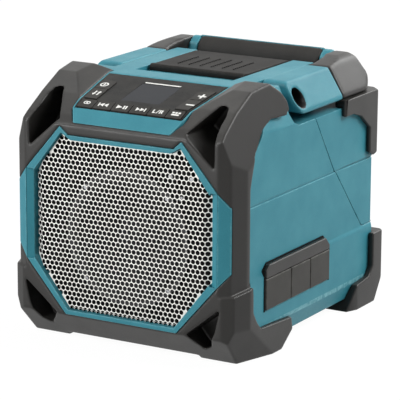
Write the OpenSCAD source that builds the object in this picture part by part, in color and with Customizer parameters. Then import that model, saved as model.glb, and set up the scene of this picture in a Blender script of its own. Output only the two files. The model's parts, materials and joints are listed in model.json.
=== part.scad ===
// Jobsite speaker: a two-way wireless speaker in a ruggedised case.
// X runs to the speaker's left as seen from behind, Y from front to back, Z up.
// The origin is on the floor, in the middle of the case.
// Outlines give depths behind the front rim plane and heights above the lower edge of the chin.

/* [Overall] */
// Width across the rear bumpers
overall_w = 198; // [190:1:230]
// Depth from the rim plane to the rear bumpers
overall_d = 234; // [228:1:270]
// Height of the top deck
deck_z = 190.5; // [186:0.5:215]

/* [Case] */
// Wall of the moulded shells
wall = 3; // [2.4:0.1:4]
// Step of the side wall above its ledge
upper_inset = 2; // [1:0.5:3]
// Height of the side ledge
ledge_z = 57; // [55:1:60]
// Height of the styling groove
groove_z = 112; // [105:1:120]
// Underside of the case
base_z = 4; // [3:0.5:5]
// Gap along the parting lines
part_gap = 0.4; // [0.2:0.05:0.6]

/* [Front frame] */
// Height of the bottom edge of the rim
chin_z = 19.5; // [18:0.5:24]
// How far the chin slants back under the rim
chin_run = 17.5; // [14:0.5:20]
// Thickness of the elastomer over the case
skin = 4; // [3:0.5:5]
// How far the lower front bumpers stand out from the frame
bumper_step = 3; // [1:0.5:4]
// How far the bumpers reach below the chin
foot = 2.5; // [2:0.5:4]
// Depth of the upper corner pockets
upper_pocket_d = 42; // [38:1:44]
// Depth of the lower corner pockets
lower_pocket_d = 22; // [18:1:25]

/* [Grille and drivers] */
// Sheet thickness of the grille
grille_t = 1.2; // [0.8:0.1:1.6]
// Outer radius of the woofer flange
woofer_r = 51; // [46:0.5:51.5]
// Radius of the woofer cone at its edge
cone_r = 38; // [35:0.5:40]
// Radius of the voice coil former
coil_r = 13; // [12:0.5:15]
// Radius of the tweeter flange
tweeter_r = 12; // [10:0.5:14]
// Free travel of the woofer cone each way
cone_travel = 2; // [1:0.5:3]

/* [Controls] */
// Pitch of the keys in the bottom row
key_pitch = 15.2; // [14.4:0.05:15.5]
// Gap round each key
key_gap = 0.35; // [0.3:0.05:0.5]
// How far each key stands above the panel
key_rise = 0.8; // [0.5:0.1:1.2]
// Travel of each key
key_travel = 0.8; // [0.5:0.1:1]
// Thickness of the control panel
panel_t = 2.5; // [2:0.1:3]
// Width of the display window
display_w = 32.5; // [28:0.5:33]

/* [Handle] */
// Depth of the pivot axis behind the rim plane
pivot_d = 107; // [104:0.5:112]
// Height of the pivot axis below the deck
pivot_drop = 13.5; // [12:0.5:14.5]
// Diameter of the pivot screws
pivot_pin_d = 8; // [6:0.5:9]
// Radial clearance of the arms on the pivot screws
pivot_fit = 0.05; // [0.03:0.01:0.1]
// Gap between the arms and the case
arm_gap = 0.6; // [0.4:0.1:1]
// Width of the deck between the arms
deck_w = 120; // [116:1:124]
// Half length of the soft grip
grip_half = 54; // [48:0.5:55]

/* [Battery bay] */
// Width of the battery cover
cover_w = 120; // [110:1:124]
// Height of the battery cover above its hinge
cover_h = 82; // [76:1:84]
// Diameter of the hinge pin
hinge_pin_d = 3; // [2.5:0.1:3.5]
// Radial clearance of the cover on its hinge pin
hinge_fit = 0.05; // [0.03:0.01:0.1]
// Gap round the battery cover
cover_gap = 0.5; // [0.4:0.05:0.8]

/* [Ports] */
// Length of the rubber port cover
port_len = 99; // [96:1:104]
// Gap between the port flaps
flap_gap = 0.6; // [0.4:0.1:1]
// Bore of the power inlet
dc_bore = 5.5; // [5:0.1:6.5]
// Bore of the audio socket
aux_bore = 3.5; // [3:0.1:4]

/* [Hidden] */
$fn = 64;

big = 400;
touch = 0.3;

// Colours
teal = [0.31, 0.55, 0.60];
frame_grey = [0.21, 0.21, 0.20];
panel_black = [0.13, 0.13, 0.13];
key_grey = [0.23, 0.22, 0.21];
flap_grey = [0.30, 0.30, 0.29];
silver = [0.85, 0.84, 0.82];
steel = [0.70, 0.71, 0.73];
board_green = [0.10, 0.32, 0.18];

// Case planes
front_y = -overall_d / 2;
rear_proud = 5;
side_x = overall_w / 2 - rear_proud;
upper_x = side_x - upper_inset;
back_d = overall_d - 14;
ledge_back = 4.5;
ledge_rise = 4;
body_front_d = 25;
base_edge_z = 19.5;
arm_low_z = deck_z - 25;
pocket_floor_z = deck_z - 31.5;
pocket_front_d = pivot_d - 17;
deck_x = deck_w / 2;
deck_back_d = back_d - 38;
shoulder_x = side_x - 14;
deck_top_z = deck_z - 2;

// Front frame outline
bar_top_z = deck_z - 27;
bar_face_z = bar_top_z - 1.7;
bar_set = 1.5;
rim_top_z = deck_z - 36.2;
peak_z = rim_top_z + 6;
peak_x = 51;
dip_x = 44.3;
rim_low_x = 47;
crest_in = 13;
crest_x = side_x - crest_in;
post_in = 4.6;
post_x = side_x - post_in;
post_d = 4.2;
post_back_d = 20;
rim_side_top_z = peak_z - 44.3;
rim_side_low_z = chin_z + 48.5;
frame_top_z = deck_z + 3.5;
crest_d = 46;
crest_z = deck_z + 0.7;
plateau_d = 67;
rim_hole = [[rim_low_x, chin_z], [post_x, rim_side_low_z], [post_x, rim_side_top_z],
  [peak_x, peak_z], [dip_x, rim_top_z]];

// Control panel facets
strip_tilt = 45;
strip_len = 13.4;
strip_d = bar_set + strip_len * cos(strip_tilt);
strip_z = bar_top_z + strip_len * sin(strip_tilt);
row_tilt = 26;
row_high = 10.6;
kink_d = strip_d + row_high * cos(row_tilt);
kink_z = strip_z + row_high * sin(row_tilt);
panel_end_d = 68.8;
panel_end_z = deck_top_z - 0.1;
panel_tilt = atan2(panel_end_z - kink_z, panel_end_d - kink_d);
panel_len = norm([panel_end_d - kink_d, panel_end_z - kink_z]);
row_trim = 2;
row_wall = 1.3;
row_x = 3 * key_pitch - row_trim + row_wall;
panel_low_x = row_x + 0.8;
panel_high_x = panel_low_x + 4.9;
border = 1.6;
hood_back_d = panel_end_d + 16;
hood_low_z = bar_top_z - 23.5;
hood_outline = [[panel_low_x - 5.5, bar_set], [row_x + border, strip_d], [panel_low_x + border, kink_d],
  [panel_high_x + border, panel_end_d], [panel_high_x + border, hood_back_d + 1]];

// Handle
pivot_z = deck_z - pivot_drop;
arm_front_d = pivot_d - 9;
arm_top_z = deck_z - 1;
arm_in_x = deck_x + arm_gap;
arm_out_x = side_x - 0.5;
arm_top_x = shoulder_x;
handle_back_d = back_d + 3;
corner_len = 55;
arm_end_d = handle_back_d - corner_len;
bar_half = deck_x + 2;
grip_top_z = deck_z + 4;
grip_low_z = deck_z - 22;

// Battery cover
cover_hinge_d = back_d - 1.5;
cover_hinge_z = ledge_z + 9;
cover_low_z = cover_hinge_z + 5;
cover_top_z = cover_hinge_z + cover_h;
knuckle_r = hinge_pin_d / 2 + 2;
knuckle_half = cover_w / 2 - 15;
bay_x = cover_w / 2 - 4;
bay_front_d = back_d - 62;
bay_low_z = cover_low_z + 3;
bay_top_z = cover_top_z - 4;

// Ports
port_d0 = 46;
port_low_z = ledge_z - 25;
port_hinge_z = ledge_z - 1.5;
port_top_z = ledge_z + 8.5;
flap_x = side_x + 1.6;
port_floor_x = side_x - 14;

// Driver seats
baffle_d = 12;
baffle_t = 4;
grille_d = 3;
bevel_d = 3;
bevel_w = 6.5;
woofer_z = (chin_z + rim_top_z) / 2 - 6;
flange_gap = 1.9;
tweeter_x = (woofer_r + tweeter_r + flange_gap) * cos(45);
tweeter_z = woofer_z + tweeter_x;

function at(d) = front_y + d;
function mirrored(points) =
  concat(points, [for (i = [len(points) - 1:-1:0]) [-points[i][0], points[i][1]]]);
// Rim octagon moved in by a given amount along each of its sides
function rim_inset(t) = [[rim_low_x - 0.3 * t, chin_z + 0.55 * t],
  [crest_x - t + 0.6, rim_side_low_z - 8.8 + 0.25 * t],
  [crest_x - t + 0.6, rim_side_top_z + 9 - 0.25 * t], [peak_x - 0.15 * t, peak_z - 0.75 * t],
  [dip_x - 0.35 * t, rim_top_z - 0.55 * t]];

module prism_x(points, x0, x1) {
  translate([x0, front_y, foot]) rotate([90, 0, 90]) linear_extrude(x1 - x0) polygon(points);
}
module prism_y(points, d0, d1) {
  translate([0, at(d1), foot]) rotate([90, 0, 0]) linear_extrude(d1 - d0) polygon(points);
}
module prism_z(points, z0, z1) {
  translate([0, front_y, z0 + foot]) linear_extrude(z1 - z0) polygon(points);
}
module block(x0, x1, d0, d1, z0, z1) {
  translate([x0, at(d0), z0 + foot]) cube([x1 - x0, d1 - d0, z1 - z0]);
}
module both() {
  children();
  mirror([1, 0, 0]) children();
}
module along_x(x0, x1, d, z, r) {
  translate([x0, at(d), z + foot]) rotate([0, 90, 0]) cylinder(h = x1 - x0, r = r);
}
module along_y(d0, d1, x, z, r) {
  translate([x, at(d0), z + foot]) rotate([-90, 0, 0]) cylinder(h = d1 - d0, r = r);
}
// A turned piece about a front-to-back axis; outline points are [radius, depth]
module turned_y(x, z, points) {
  translate([x, front_y, z + foot]) rotate([-90, 0, 0]) rotate_extrude() polygon(points);
}
// Everything beyond a plane through a point, on the side that the normal points to
module beyond(point, normal) {
  translate([point[0], at(point[1]), point[2] + foot])
    rotate([0, acos(normal[2] / norm(normal)), atan2(normal[1], normal[0])])
      translate([-big, -big, 0]) cube([2 * big, 2 * big, big]);
}
function plane_normal(a, b, c) = cross(b - a, c - a);
module on_row() {
  translate([0, at(strip_d), strip_z + foot]) rotate([row_tilt, 0, 0]) children();
}
module on_panel() {
  translate([0, at(kink_d), kink_z + foot]) rotate([panel_tilt, 0, 0]) children();
}

// Outline of the frame and case seen from the side, front and above
frame_side = [[chin_run * (1 + foot / chin_z), -foot], [0, chin_z], [0, bar_face_z], [bar_set, bar_top_z],
  [bar_set + 5, bar_top_z + 4.5], [24.5, deck_z - 10.5], [crest_d, crest_z], [plateau_d, frame_top_z],
  [pocket_front_d, frame_top_z], [pocket_front_d, -foot]];
function frame_plan(x) = [[x - crest_in, 0], [x - post_in, post_d], [x, post_back_d], [x, pocket_front_d]];
frame_reach = [[-1, -foot - 1], [67, -foot - 1], [85, 9], [83, base_edge_z - 1], [37, 21.5], [31, 27.5],
  [25.5, 36],
  [body_front_d, ledge_z - 1], [body_front_d, deck_z - 64], [27, deck_z - 57], [32, deck_z - 42],
  [48.5, deck_z - 25.5], [60, deck_z - 20.5], [78, deck_z - 20.5], [82.5, deck_z - 16.5],
  [82.5, deck_z - 10.5], [78, deck_z - 3.5], [67, frame_top_z + 1], [-1, frame_top_z + 1]];
body_front = mirrored([[side_x - 8, base_z], [side_x - 4, base_z + 2.5], [side_x, base_edge_z],
  [side_x, ledge_z], [upper_x, ledge_z + ledge_rise], [upper_x, pocket_floor_z + 2],
  [shoulder_x, deck_top_z], [0, deck_top_z]]);
body_plan = mirrored([[side_x, body_front_d], [side_x, back_d - 2], [side_x - 6.5, back_d + ledge_back]]);
body_side = [[body_front_d, base_z], [body_front_d, kink_z], [panel_end_d, panel_end_z],
  [panel_end_d, deck_top_z], [back_d, deck_top_z], [back_d, ledge_z + ledge_rise], [back_d + ledge_back,
    ledge_z],
  [back_d + ledge_back, base_edge_z], [back_d, base_z]];
part_top_d = back_d - 95;
part_mid_d = back_d - 63;
part_jog = 1.5;
part_low_d = back_d - 16;
part_low_z = ledge_z + ledge_rise - 1;
parting = [[part_top_d, pocket_floor_z], [part_mid_d, groove_z], [part_mid_d + part_jog, groove_z],
  [part_low_d, part_low_z], [overall_d, part_low_z], [overall_d, pocket_floor_z]];

// The shoulder plane leans in over each upper corner
shoulder_a = [side_x - 3, 7.4, deck_z - 46.9];
shoulder_b = [side_x - 13.7, 21, deck_z - 7.5];
shoulder_c = [side_x - 9, 65, deck_z - 0.5];
shoulder_n = -plane_normal(shoulder_a, shoulder_b, shoulder_c);
corner_a = [post_x + bumper_step, post_d, chin_z + 6.5];
corner_b = [side_x - 7.5, chin_run + 3, -foot];
corner_c = [side_x + bumper_step, chin_run + 18, chin_z - 6.5];
corner_n = plane_normal(corner_a, corner_b, corner_c);
facet_a = [panel_low_x + border, kink_d, kink_z];
facet_b = [panel_high_x + border, panel_end_d, panel_end_z];
facet_c = [panel_low_x + 20.3, crest_d, crest_z];
facet_n = -plane_normal(facet_a, facet_b, facet_c);

module frame_envelope(x) {
  difference() {
    intersection() {
      prism_x(frame_side, -x, x);
      prism_z(mirrored(frame_plan(x)), -foot - 1, frame_top_z + 1);
    }
    both() beyond(shoulder_a, shoulder_n);
    both() beyond(corner_a, corner_n);
  }
}

// The back of each upper pocket slopes with the back of the frame
module upper_pocket(d1) {
  intersection() {
    prism_y([[panel_low_x + 7.3, bar_top_z + 1.5], [side_x - 16.5, bar_top_z - 19.9],
      [side_x - 16.3, bar_top_z - 1.3], [side_x - 18.7, bar_top_z + 8.5], [side_x - 19, bar_top_z + 14],
      [side_x - 21.2, bar_top_z + 18.3], [side_x - 25.4, bar_top_z + 19.2],
      [side_x - 27.9, bar_top_z + 18.6]], -1, d1);
    prism_x([[-2, bar_top_z - 30], [26, bar_top_z - 30], [28.5, bar_top_z - 15.5], [d1, bar_top_z + d1 - 44],
      [d1, frame_top_z], [-2, frame_top_z]], 0, side_x);
  }
}
module lower_pocket(d1) {
  prism_y([[55, chin_z + 0.5], [side_x - 28.5, chin_z - 11.2], [side_x - 22, chin_z - 8],
    [side_x - 15.5, chin_z + 5], [side_x - 11.5, chin_z + 22.5]], -1, d1);
}

// Solid of the case without its hollow
module case_nose() {
  intersection() {
    prism_y(mirrored(rim_hole), 0, body_front_d + 10);
    prism_z(mirrored(frame_plan(side_x)), 0, deck_z);
  }
}
module case_hood() {
  intersection() {
    prism_x([[bar_set, bar_top_z], [strip_d, strip_z], [kink_d, kink_z], [panel_end_d, panel_end_z],
      [panel_end_d + 4, deck_top_z], [hood_back_d, deck_top_z], [hood_back_d, hood_low_z], [8, hood_low_z],
      [8, bar_top_z]], -deck_x, deck_x);
    prism_z(mirrored(hood_outline), hood_low_z - 1, deck_z);
  }
}
module case_body() {
  intersection() {
    prism_y(body_front, body_front_d, overall_d);
    prism_z(body_plan, 0, deck_z);
    prism_x(body_side, -side_x, side_x);
  }
}
module frame_core() {
  intersection() {
    difference() {
      union() {
        block(-side_x + skin, side_x - skin, upper_pocket_d + 3, 72, base_z + skin, deck_z - 20);
        both() block(56, side_x - skin, upper_pocket_d + 3, 72, deck_z - 21, deck_z - 6.5);
      }
      both() beyond(shoulder_a - skin * shoulder_n / norm(shoulder_n), shoulder_n);
    }
    prism_y(body_front, 0, overall_d);
  }
}
module case_solid() {
  union() {
    difference() {
      case_body();
      prism_x(frame_reach, -side_x - 9, side_x + 9);
    }
    frame_core();
    case_nose();
    case_hood();
  }
}
// Hollow shared by the two shells
module case_hollow() {
  prism_y(mirrored(rim_inset(9)), baffle_d + baffle_t, 45);
  intersection() {
    block(-upper_x + wall, upper_x - wall, 36, back_d - wall, base_z + wall, pocket_floor_z - wall);
    prism_y(mirrored([[side_x - 12 - wall, base_z + wall], [upper_x - wall, base_edge_z + 3],
      [upper_x - wall, pocket_floor_z - wall]]), 0, overall_d);
    prism_z(mirrored([[side_x - skin - wall - 4, 0], [side_x - skin - wall - 4, 69], [upper_x - wall, 72],
      [upper_x - wall, back_d - 10], [upper_x - wall - 9, back_d]]), 0, deck_z);
  }
  prism_x([[24, pocket_floor_z - 10], [24, kink_z - 10.5], [panel_end_d, panel_end_z - 11.5],
    [panel_end_d + 8, slot_floor_z - wall], [deck_back_d - wall, slot_floor_z - wall],
    [deck_back_d - wall, pocket_floor_z - 10]], -panel_low_x + 2, panel_low_x - 2);
  block(-deck_x + wall, deck_x - wall, 80, deck_back_d - wall, pocket_floor_z - 10, slot_floor_z - wall);
}
module handle_space() {
  both() prism_x([[pocket_front_d, deck_z + 1], [pocket_front_d, pocket_floor_z + 9],
    [pocket_front_d + 2.6, pocket_floor_z + 2.6], [pocket_front_d + 9, pocket_floor_z],
    [overall_d, pocket_floor_z], [overall_d, deck_z + 1]], deck_x, side_x + 5);
  block(-deck_x - 1, deck_x + 1, deck_back_d, overall_d, pocket_floor_z, deck_z + 1);
}
module groove() {
  both() block(upper_x - 0.7, side_x + 1, 0, back_d + 1, groove_z - 0.6, groove_z + 0.6);
}
module panel_cut(t) {
  on_panel() translate([0, 0, -9]) linear_extrude(15)
    polygon(mirrored([[panel_low_x + t, -6], [panel_low_x + t, 0], [panel_high_x + t,
      panel_len - border + t]]));
  on_row() translate([0, 0, -9]) linear_extrude(15)
    polygon(mirrored([[row_x + t, -t], [panel_low_x + t, row_high], [panel_low_x + t, row_high + 6]]));
}
pad_x = 40.5;
pad_gap = 1.5;
slot_front_d = 88.5;
pad_front_d = slot_front_d + 19;
slot_floor_z = deck_top_z - 6.5;
pad_seat_z = deck_top_z - 4;
// Slot across the deck in front of the pad, and the seat of the pad
module pad_recess() {
  block(-pad_x - pad_gap, pad_x + pad_gap, slot_front_d, pad_front_d, slot_floor_z, deck_z);
  block(-pad_x - pad_gap, pad_x + pad_gap, pad_front_d - 1, deck_back_d + 1, pad_seat_z, deck_z);
}
module rear_region(g) {
  prism_x([for (p = parting) [p[0] + g, p[1] + (p[1] > groove_z ? 0 : g)]],
    -side_x - 9, side_x + 9);
}
tower_z = [ledge_z + 14, pocket_floor_z - 11];
// Depth of the parting line at a height, below and above the groove
function part_lower_d(z) =
  part_low_d + (part_mid_d + part_jog - part_low_d) * (z - part_low_z) / (groove_z - part_low_z);
function part_upper_d(z) =
  part_mid_d + (part_top_d - part_mid_d) * (z - groove_z) / (pocket_floor_z - groove_z);
tower_set = 0.5;
tower_part_d = [part_lower_d(tower_z[0]) - 8 * tower_set, part_upper_d(tower_z[1]) + tower_set];
tower_x = upper_x - 19;

// Shells
module front_housing() color(teal) {
  difference() {
    union() {
      difference() {
        case_solid();
        case_hollow();
      }
      screw_stubs();
      pivot_bosses();
    }
    handle_space();
    groove();
    panel_cut(0.25);
    pad_recess();
    rear_region(0);
    prism_y(mirrored(rim_inset(6.5)), -1, baffle_d + baffle_t);
    rim_bevel();
    port_opening();
    both() along_x(deck_x - 14, deck_x + 1, pivot_d, pivot_z, pivot_pin_d / 2);
    frame_screw_holes();
    for (i = [0, 1]) both() along_y(tower_part_d[i] - 15, tower_part_d[i] + 5, tower_x, tower_z[i], 1.6);
  }
}
module screw_stubs() {
  for (i = [0, 1]) both() {
    along_y(tower_part_d[i] - 17, tower_part_d[i], tower_x, tower_z[i], 4.5);
    block(tower_x, upper_x - 1, tower_part_d[i] - 17, tower_part_d[i] - 3, tower_z[i] - 1.5,
      tower_z[i] + 1.5);
  }
}
module pivot_bosses() {
  both() along_x(deck_x - 14, deck_x - 1, pivot_d, pivot_z, pivot_pin_d / 2 + 3);
}
module rim_bevel() {
  both() intersection() {
    beyond([crest_x, 0, woofer_z], [-bevel_d, -bevel_w, 0]);
    block(crest_x - bevel_w, crest_x + 1, -1, bevel_d, rim_side_low_z - 10, rim_side_top_z + 10);
  }
}
module port_opening() {
  block(side_x - 12, side_x + 5, port_d0 + 4, port_d0 + port_len - 4, port_low_z + 3, port_hinge_z + 2);
  prism_x(port_outline(0.3), side_x - 2.2, side_x + 5);
  tray_box();
}
module tray_box() {
  block(port_floor_x - 2, upper_x - wall, port_d0 + 2, port_d0 + port_len - 2, port_low_z + 1,
    port_hinge_z + 4);
}
function port_outline(t) = [[port_d0 - t, port_low_z - t], [port_d0 - t, port_top_z - 4], [port_d0 + 5,
  port_top_z + t],
  [port_d0 + port_len - 6, port_top_z + t], [port_d0 + port_len + t, port_top_z - 6],
  [port_d0 + port_len + t, port_low_z - t]];

module rear_housing() color(teal) {
  difference() {
    union() {
      intersection() {
        difference() {
          case_solid();
          case_hollow();
        }
        rear_region(part_gap);
      }
      intersection() {
        for (i = [0, 1]) both()
          along_y(tower_part_d[i] + part_gap, back_d - 1, tower_x, tower_z[i], 4.5);
        rear_region(part_gap);
      }
      both() hinge_ear();
    }
    handle_space();
    groove();
    for (i = [0, 1]) both() {
      along_y(tower_part_d[i] + 8, overall_d, tower_x, tower_z[i], 3.3);
      along_y(tower_part_d[i] - 1, overall_d, tower_x, tower_z[i], 2);
    }
    cover_opening(cover_gap);
    both() along_x(knuckle_half - 1, knuckle_half + 13, cover_hinge_d, cover_hinge_z, hinge_pin_d / 2);
  }
}
module hinge_ear() {
  along_x(knuckle_half + 0.4, knuckle_half + 11, cover_hinge_d, cover_hinge_z, knuckle_r);
  block(knuckle_half + 0.4, knuckle_half + 11, cover_hinge_d - 3, back_d - 1, ledge_z + 3.5, cover_hinge_z);
}
module cover_opening(g) {
  block(-cover_w / 2 - g, cover_w / 2 + g, back_d - 1.5 - g, overall_d, cover_low_z - g, cover_top_z + g);
  block(-bay_x, bay_x, back_d - 10, overall_d, bay_low_z, bay_top_z);
  along_x(-knuckle_half - 0.4, knuckle_half + 0.4, cover_hinge_d, cover_hinge_z, knuckle_r + 0.5);
  block(-knuckle_half - 0.4, knuckle_half + 0.4, cover_hinge_d - 2.2, overall_d, cover_hinge_z - 1,
    cover_low_z + 1);
}

// Front frame with its corner pockets
module front_frame() color(frame_grey) {
  difference() {
    intersection() {
      union() {
        frame_envelope(side_x);
        intersection() {
          frame_envelope(side_x + bumper_step);
          prism_x([[-1, -foot - 1], [-1, ledge_z - 6], [body_front_d, ledge_z - 2], [90, ledge_z - 2],
            [90, -foot - 1]],
            -side_x - 9, side_x + 9);
        }
      }
      prism_x(frame_reach, -side_x - 9, side_x + 9);
    }
    case_solid();
    prism_y(mirrored(rim_hole), -1, body_front_d);
    both() upper_pocket(upper_pocket_d);
    both() lower_pocket(lower_pocket_d);
    panel_trough();
    block(-peak_x - 5, peak_x + 5, -1, 40, -foot - 1, 0);
    block(-side_x + 16, side_x - 16, 31, 100, -foot - 1, base_z + skin);
    frame_screw_holes();
  }
}
module panel_trough() {
  difference() {
    on_panel() translate([-big / 2, -8, 0]) cube([big, 90, 60]);
    both() beyond(facet_a, -facet_n);
  }
  intersection() {
    prism_z(mirrored(hood_outline), bar_top_z, frame_top_z + 1);
    block(-deck_x, deck_x, -5, pocket_front_d + 1, bar_top_z, frame_top_z + 1);
  }
}
frame_screw_spots = [[side_x - 27, deck_z - 15.8, upper_pocket_d], [side_x - 22, chin_z + 4.5,
  lower_pocket_d]];
module frame_screw_holes() {
  for (s = frame_screw_spots) both() {
    along_y(s[2] - 4, s[2], s[0], s[1], 4);
    along_y(s[2] - 1, s[2] + 16, s[0], s[1], 1.6);
  }
}

// Grille tray, pressed from one sheet
module grille() color(silver) {
  difference() {
    prism_y(mirrored(rim_inset(6.8)), grille_d, baffle_d);
    prism_y(mirrored(rim_inset(6.8 + grille_t)), grille_d + grille_t, baffle_d + 1);
  }
}
module baffle() color(panel_black) {
  difference() {
    prism_y(mirrored(rim_inset(6.8)), baffle_d, baffle_d + baffle_t);
    along_y(0, 40, 0, woofer_z, woofer_r - 4);
    along_y(0, 40, tweeter_x, tweeter_z, tweeter_r - 3);
    driver_screw_holes();
  }
}

// Woofer
cone_back_d = baffle_d + 20;
coil_back_d = baffle_d + 34;
basket_back_d = baffle_d + 30;
magnet_r = 34;
magnet_t = 16;
module woofer_basket() color([0.18, 0.18, 0.19]) {
  difference() {
    turned_y(0, woofer_z, [[woofer_r - 5, baffle_d - 2], [woofer_r, baffle_d - 2], [woofer_r, baffle_d],
      [woofer_r - 4.3, baffle_d], [woofer_r - 7, baffle_d + 10], [30, basket_back_d],
      [30, basket_back_d + 2], [coil_r + 3, basket_back_d + 2], [coil_r + 3, basket_back_d],
      [28, basket_back_d - 2], [woofer_r - 9, baffle_d + 9]]);
    for (a = [0:60:300]) translate([0, 0, woofer_z + foot]) rotate([0, a, 0])
      translate([-9, at(baffle_d + 12), 28]) cube([18, 12, 30]);
    driver_screw_holes();
  }
}
module woofer_magnet() color([0.30, 0.30, 0.32]) {
  difference() {
    along_y(basket_back_d + 2, basket_back_d + 2 + magnet_t, 0, woofer_z, magnet_r);
    difference() {
      along_y(basket_back_d + 1, coil_back_d + cone_travel + 3, 0, woofer_z, coil_r + 0.6);
      along_y(basket_back_d, basket_back_d + 2 + magnet_t, 0, woofer_z, coil_r - 1.4);
    }
  }
}
module woofer_surround() color([0.12, 0.12, 0.12]) {
  turned_y(0, woofer_z, [[cone_r + touch, baffle_d - 2.6], [cone_r + 2, baffle_d - 4.6], [cone_r + 4,
    baffle_d - 5],
    [cone_r + 6, baffle_d - 4.4], [woofer_r - 5.4, baffle_d - 2.4], [woofer_r - 5.4, baffle_d - 1],
    [cone_r + 4, baffle_d - 3.6], [cone_r + touch, baffle_d - 1.4]]);
  turned_y(0, woofer_z, [[woofer_r - 8, baffle_d - 3.4], [woofer_r - 4.4, baffle_d - 3.4],
    [woofer_r - 4.4, baffle_d - 2],
    [woofer_r - 8, baffle_d - 2]]);
}
module woofer_spider() color([0.55, 0.45, 0.25]) {
  turned_y(0, woofer_z, [[coil_r + touch, baffle_d + 25], [18, baffle_d + 24], [23, baffle_d + 26],
    [28.6, baffle_d + 25], [28.6, baffle_d + 26], [23, baffle_d + 27], [18, baffle_d + 25],
    [coil_r + touch, baffle_d + 26]]);
}
module woofer_cone() color([0.10, 0.10, 0.11]) {
  turned_y(0, woofer_z, [[cone_r, baffle_d - 2.6], [cone_r, baffle_d - 1.4], [coil_r, cone_back_d],
    [coil_r, coil_back_d], [coil_r - 0.8, coil_back_d], [coil_r - 0.8, cone_back_d - 1.6]]);
}
module dust_cap() color([0.14, 0.14, 0.15]) {
  turned_y(0, woofer_z, [[0, cone_back_d - 12], [7, cone_back_d - 11.1], [13, cone_back_d - 8.3],
    [17.4, cone_back_d - 6.1], [16.6, cone_back_d - 5.5], [13, cone_back_d - 7.1], [7, cone_back_d - 9.9],
    [0, cone_back_d - 10.8]]);
}
module tweeter() color([0.15, 0.15, 0.16]) {
  difference() {
    union() {
      along_y(baffle_d - 2, baffle_d, tweeter_x, tweeter_z, tweeter_r);
      along_y(baffle_d - 1, baffle_d + 16, tweeter_x, tweeter_z, tweeter_r - 3.3);
    }
    along_y(0, baffle_d + 3, tweeter_x, tweeter_z, tweeter_r - 6);
    driver_screw_holes();
  }
  translate([tweeter_x, at(baffle_d + 12), tweeter_z + foot]) sphere(r = tweeter_r - 6.2);
}
function ring_spots(x, z, r, n, a0) = [for (i = [0:n - 1]) [x + r * cos(a0 + 360 * i / n),
  z + r * sin(a0 + 360 * i / n)]];
driver_spots = concat(ring_spots(0, woofer_z, woofer_r - 2.2, 4, 45),
  ring_spots(tweeter_x, tweeter_z, tweeter_r - 1.9, 3, 30));
module driver_screw_holes() {
  for (p = driver_spots) along_y(baffle_d - 3, baffle_d + baffle_t + 1, p[0], p[1], 1);
}
module driver_screws() color(steel) {
  for (p = driver_spots) {
    along_y(baffle_d - 3.2, baffle_d - 2, p[0], p[1], 1.7);
    along_y(baffle_d - 2, baffle_d + baffle_t - 0.5, p[0], p[1], 1);
  }
}

// Control panel, display and keys
key_inset = border + key_gap;
column_in = [2 * key_pitch + 2.2, 2 * key_pitch + 4.4];
column_high = 33;
column_rise = 4;
// Room at the fold, where pressed keys of the two facets close in on each other
fold_gap = 1;
column_mid = 19;
function edge_x(w) = panel_low_x + (panel_high_x - panel_low_x) * w / panel_len - key_inset;
function column_x(w) = column_in[0] + (column_in[1] - column_in[0]) * w / column_high;
function column_outline(w0, w1, rise, g) = [[column_x(w0) + g, w0 + g], [edge_x(w0) - g, w0 + g],
  [edge_x(w1 + rise) - g, w1 + rise - g], [column_x(w1) + g, w1 - g]];
row_low = 0.6;
row_top = row_high - 0.3;
function row_outline(i, g) = [[i * key_pitch + g, row_low + g], [(i + 1) * key_pitch - g, row_low + g],
  [(i + 1) * key_pitch - g, row_top - g], [i * key_pitch + g, row_top - g]];
row_end = 3 * key_pitch - row_trim;
row_window = [[row_end, row_low], [row_end, row_top]];
display_mid = 1;
display_low = 5.7;
display_high = 37.5;
display_outline = [[display_mid - display_w / 2, display_low], [display_mid + display_w / 2, display_low],
  [display_mid + display_w / 2, display_high], [display_mid - display_w / 2, display_high]];
board_drop = panel_t + 1.6 + key_travel + 1.3;
module control_panel() color(panel_black) {
  difference() {
    union() {
      on_panel() translate([0, 0, -panel_t]) linear_extrude(panel_t)
        polygon(mirrored([[panel_low_x, 0], [panel_high_x, panel_len - border]]));
      on_row() translate([0, 0, -panel_t]) linear_extrude(panel_t)
        polygon(mirrored([[row_x, 0], [panel_low_x, row_high]]));
      on_panel() for (s = [-1, 1]) translate([s * 24, 22, -board_drop]) cylinder(h = board_drop - 1,
        r = 2.5);
    }
    on_row() translate([0, 0, -9]) linear_extrude(15) polygon(mirrored(row_window));
    on_panel() translate([0, 0, -panel_t - 0.2]) linear_extrude(9) {
      polygon(column_outline(fold_gap, column_high, column_rise, 0));
      mirror([1, 0]) polygon(column_outline(fold_gap, column_high, column_rise, 0));
      polygon(display_outline);
    }
  }
}
module display_window() color([0.28, 0.29, 0.31]) {
  on_panel() {
    translate([0, 0, -panel_t + 0.6]) linear_extrude(panel_t - 0.8)
      polygon(display_outline);
    translate([display_mid - display_w / 2 - 1.5, display_low - 1.5, -panel_t - 1.6])
      cube([display_w + 3, display_high - display_low + 3, 1.6]);
    translate([display_mid - display_w / 2 + 1, display_low + 1, -panel_t - 1])
      cube([display_w - 2, display_high - display_low - 2, 2]);
  }
}
module control_board() color(board_green) {
  on_panel() translate([-34, 3, -board_drop - 1.6]) cube([68, panel_len - 9, 1.6]);
}
module key(outline_cap, outline_flange) {
  translate([0, 0, -panel_t - 0.4]) linear_extrude(panel_t + 0.4 + key_rise) polygon(outline_cap);
  translate([0, 0, -panel_t - 1.6]) linear_extrude(1.2) polygon(outline_flange);
}
function row_cap(i) = let (o = row_outline(i, key_gap))
  i == -3 ? [[o[0][0] + row_trim, o[0][1]], o[1], o[2], [o[3][0] + row_trim, o[3][1]]]
  : i == 2 ? [o[0], [o[1][0] - row_trim, o[1][1]], [o[2][0] - row_trim, o[2][1]], o[3]] : o;
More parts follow.
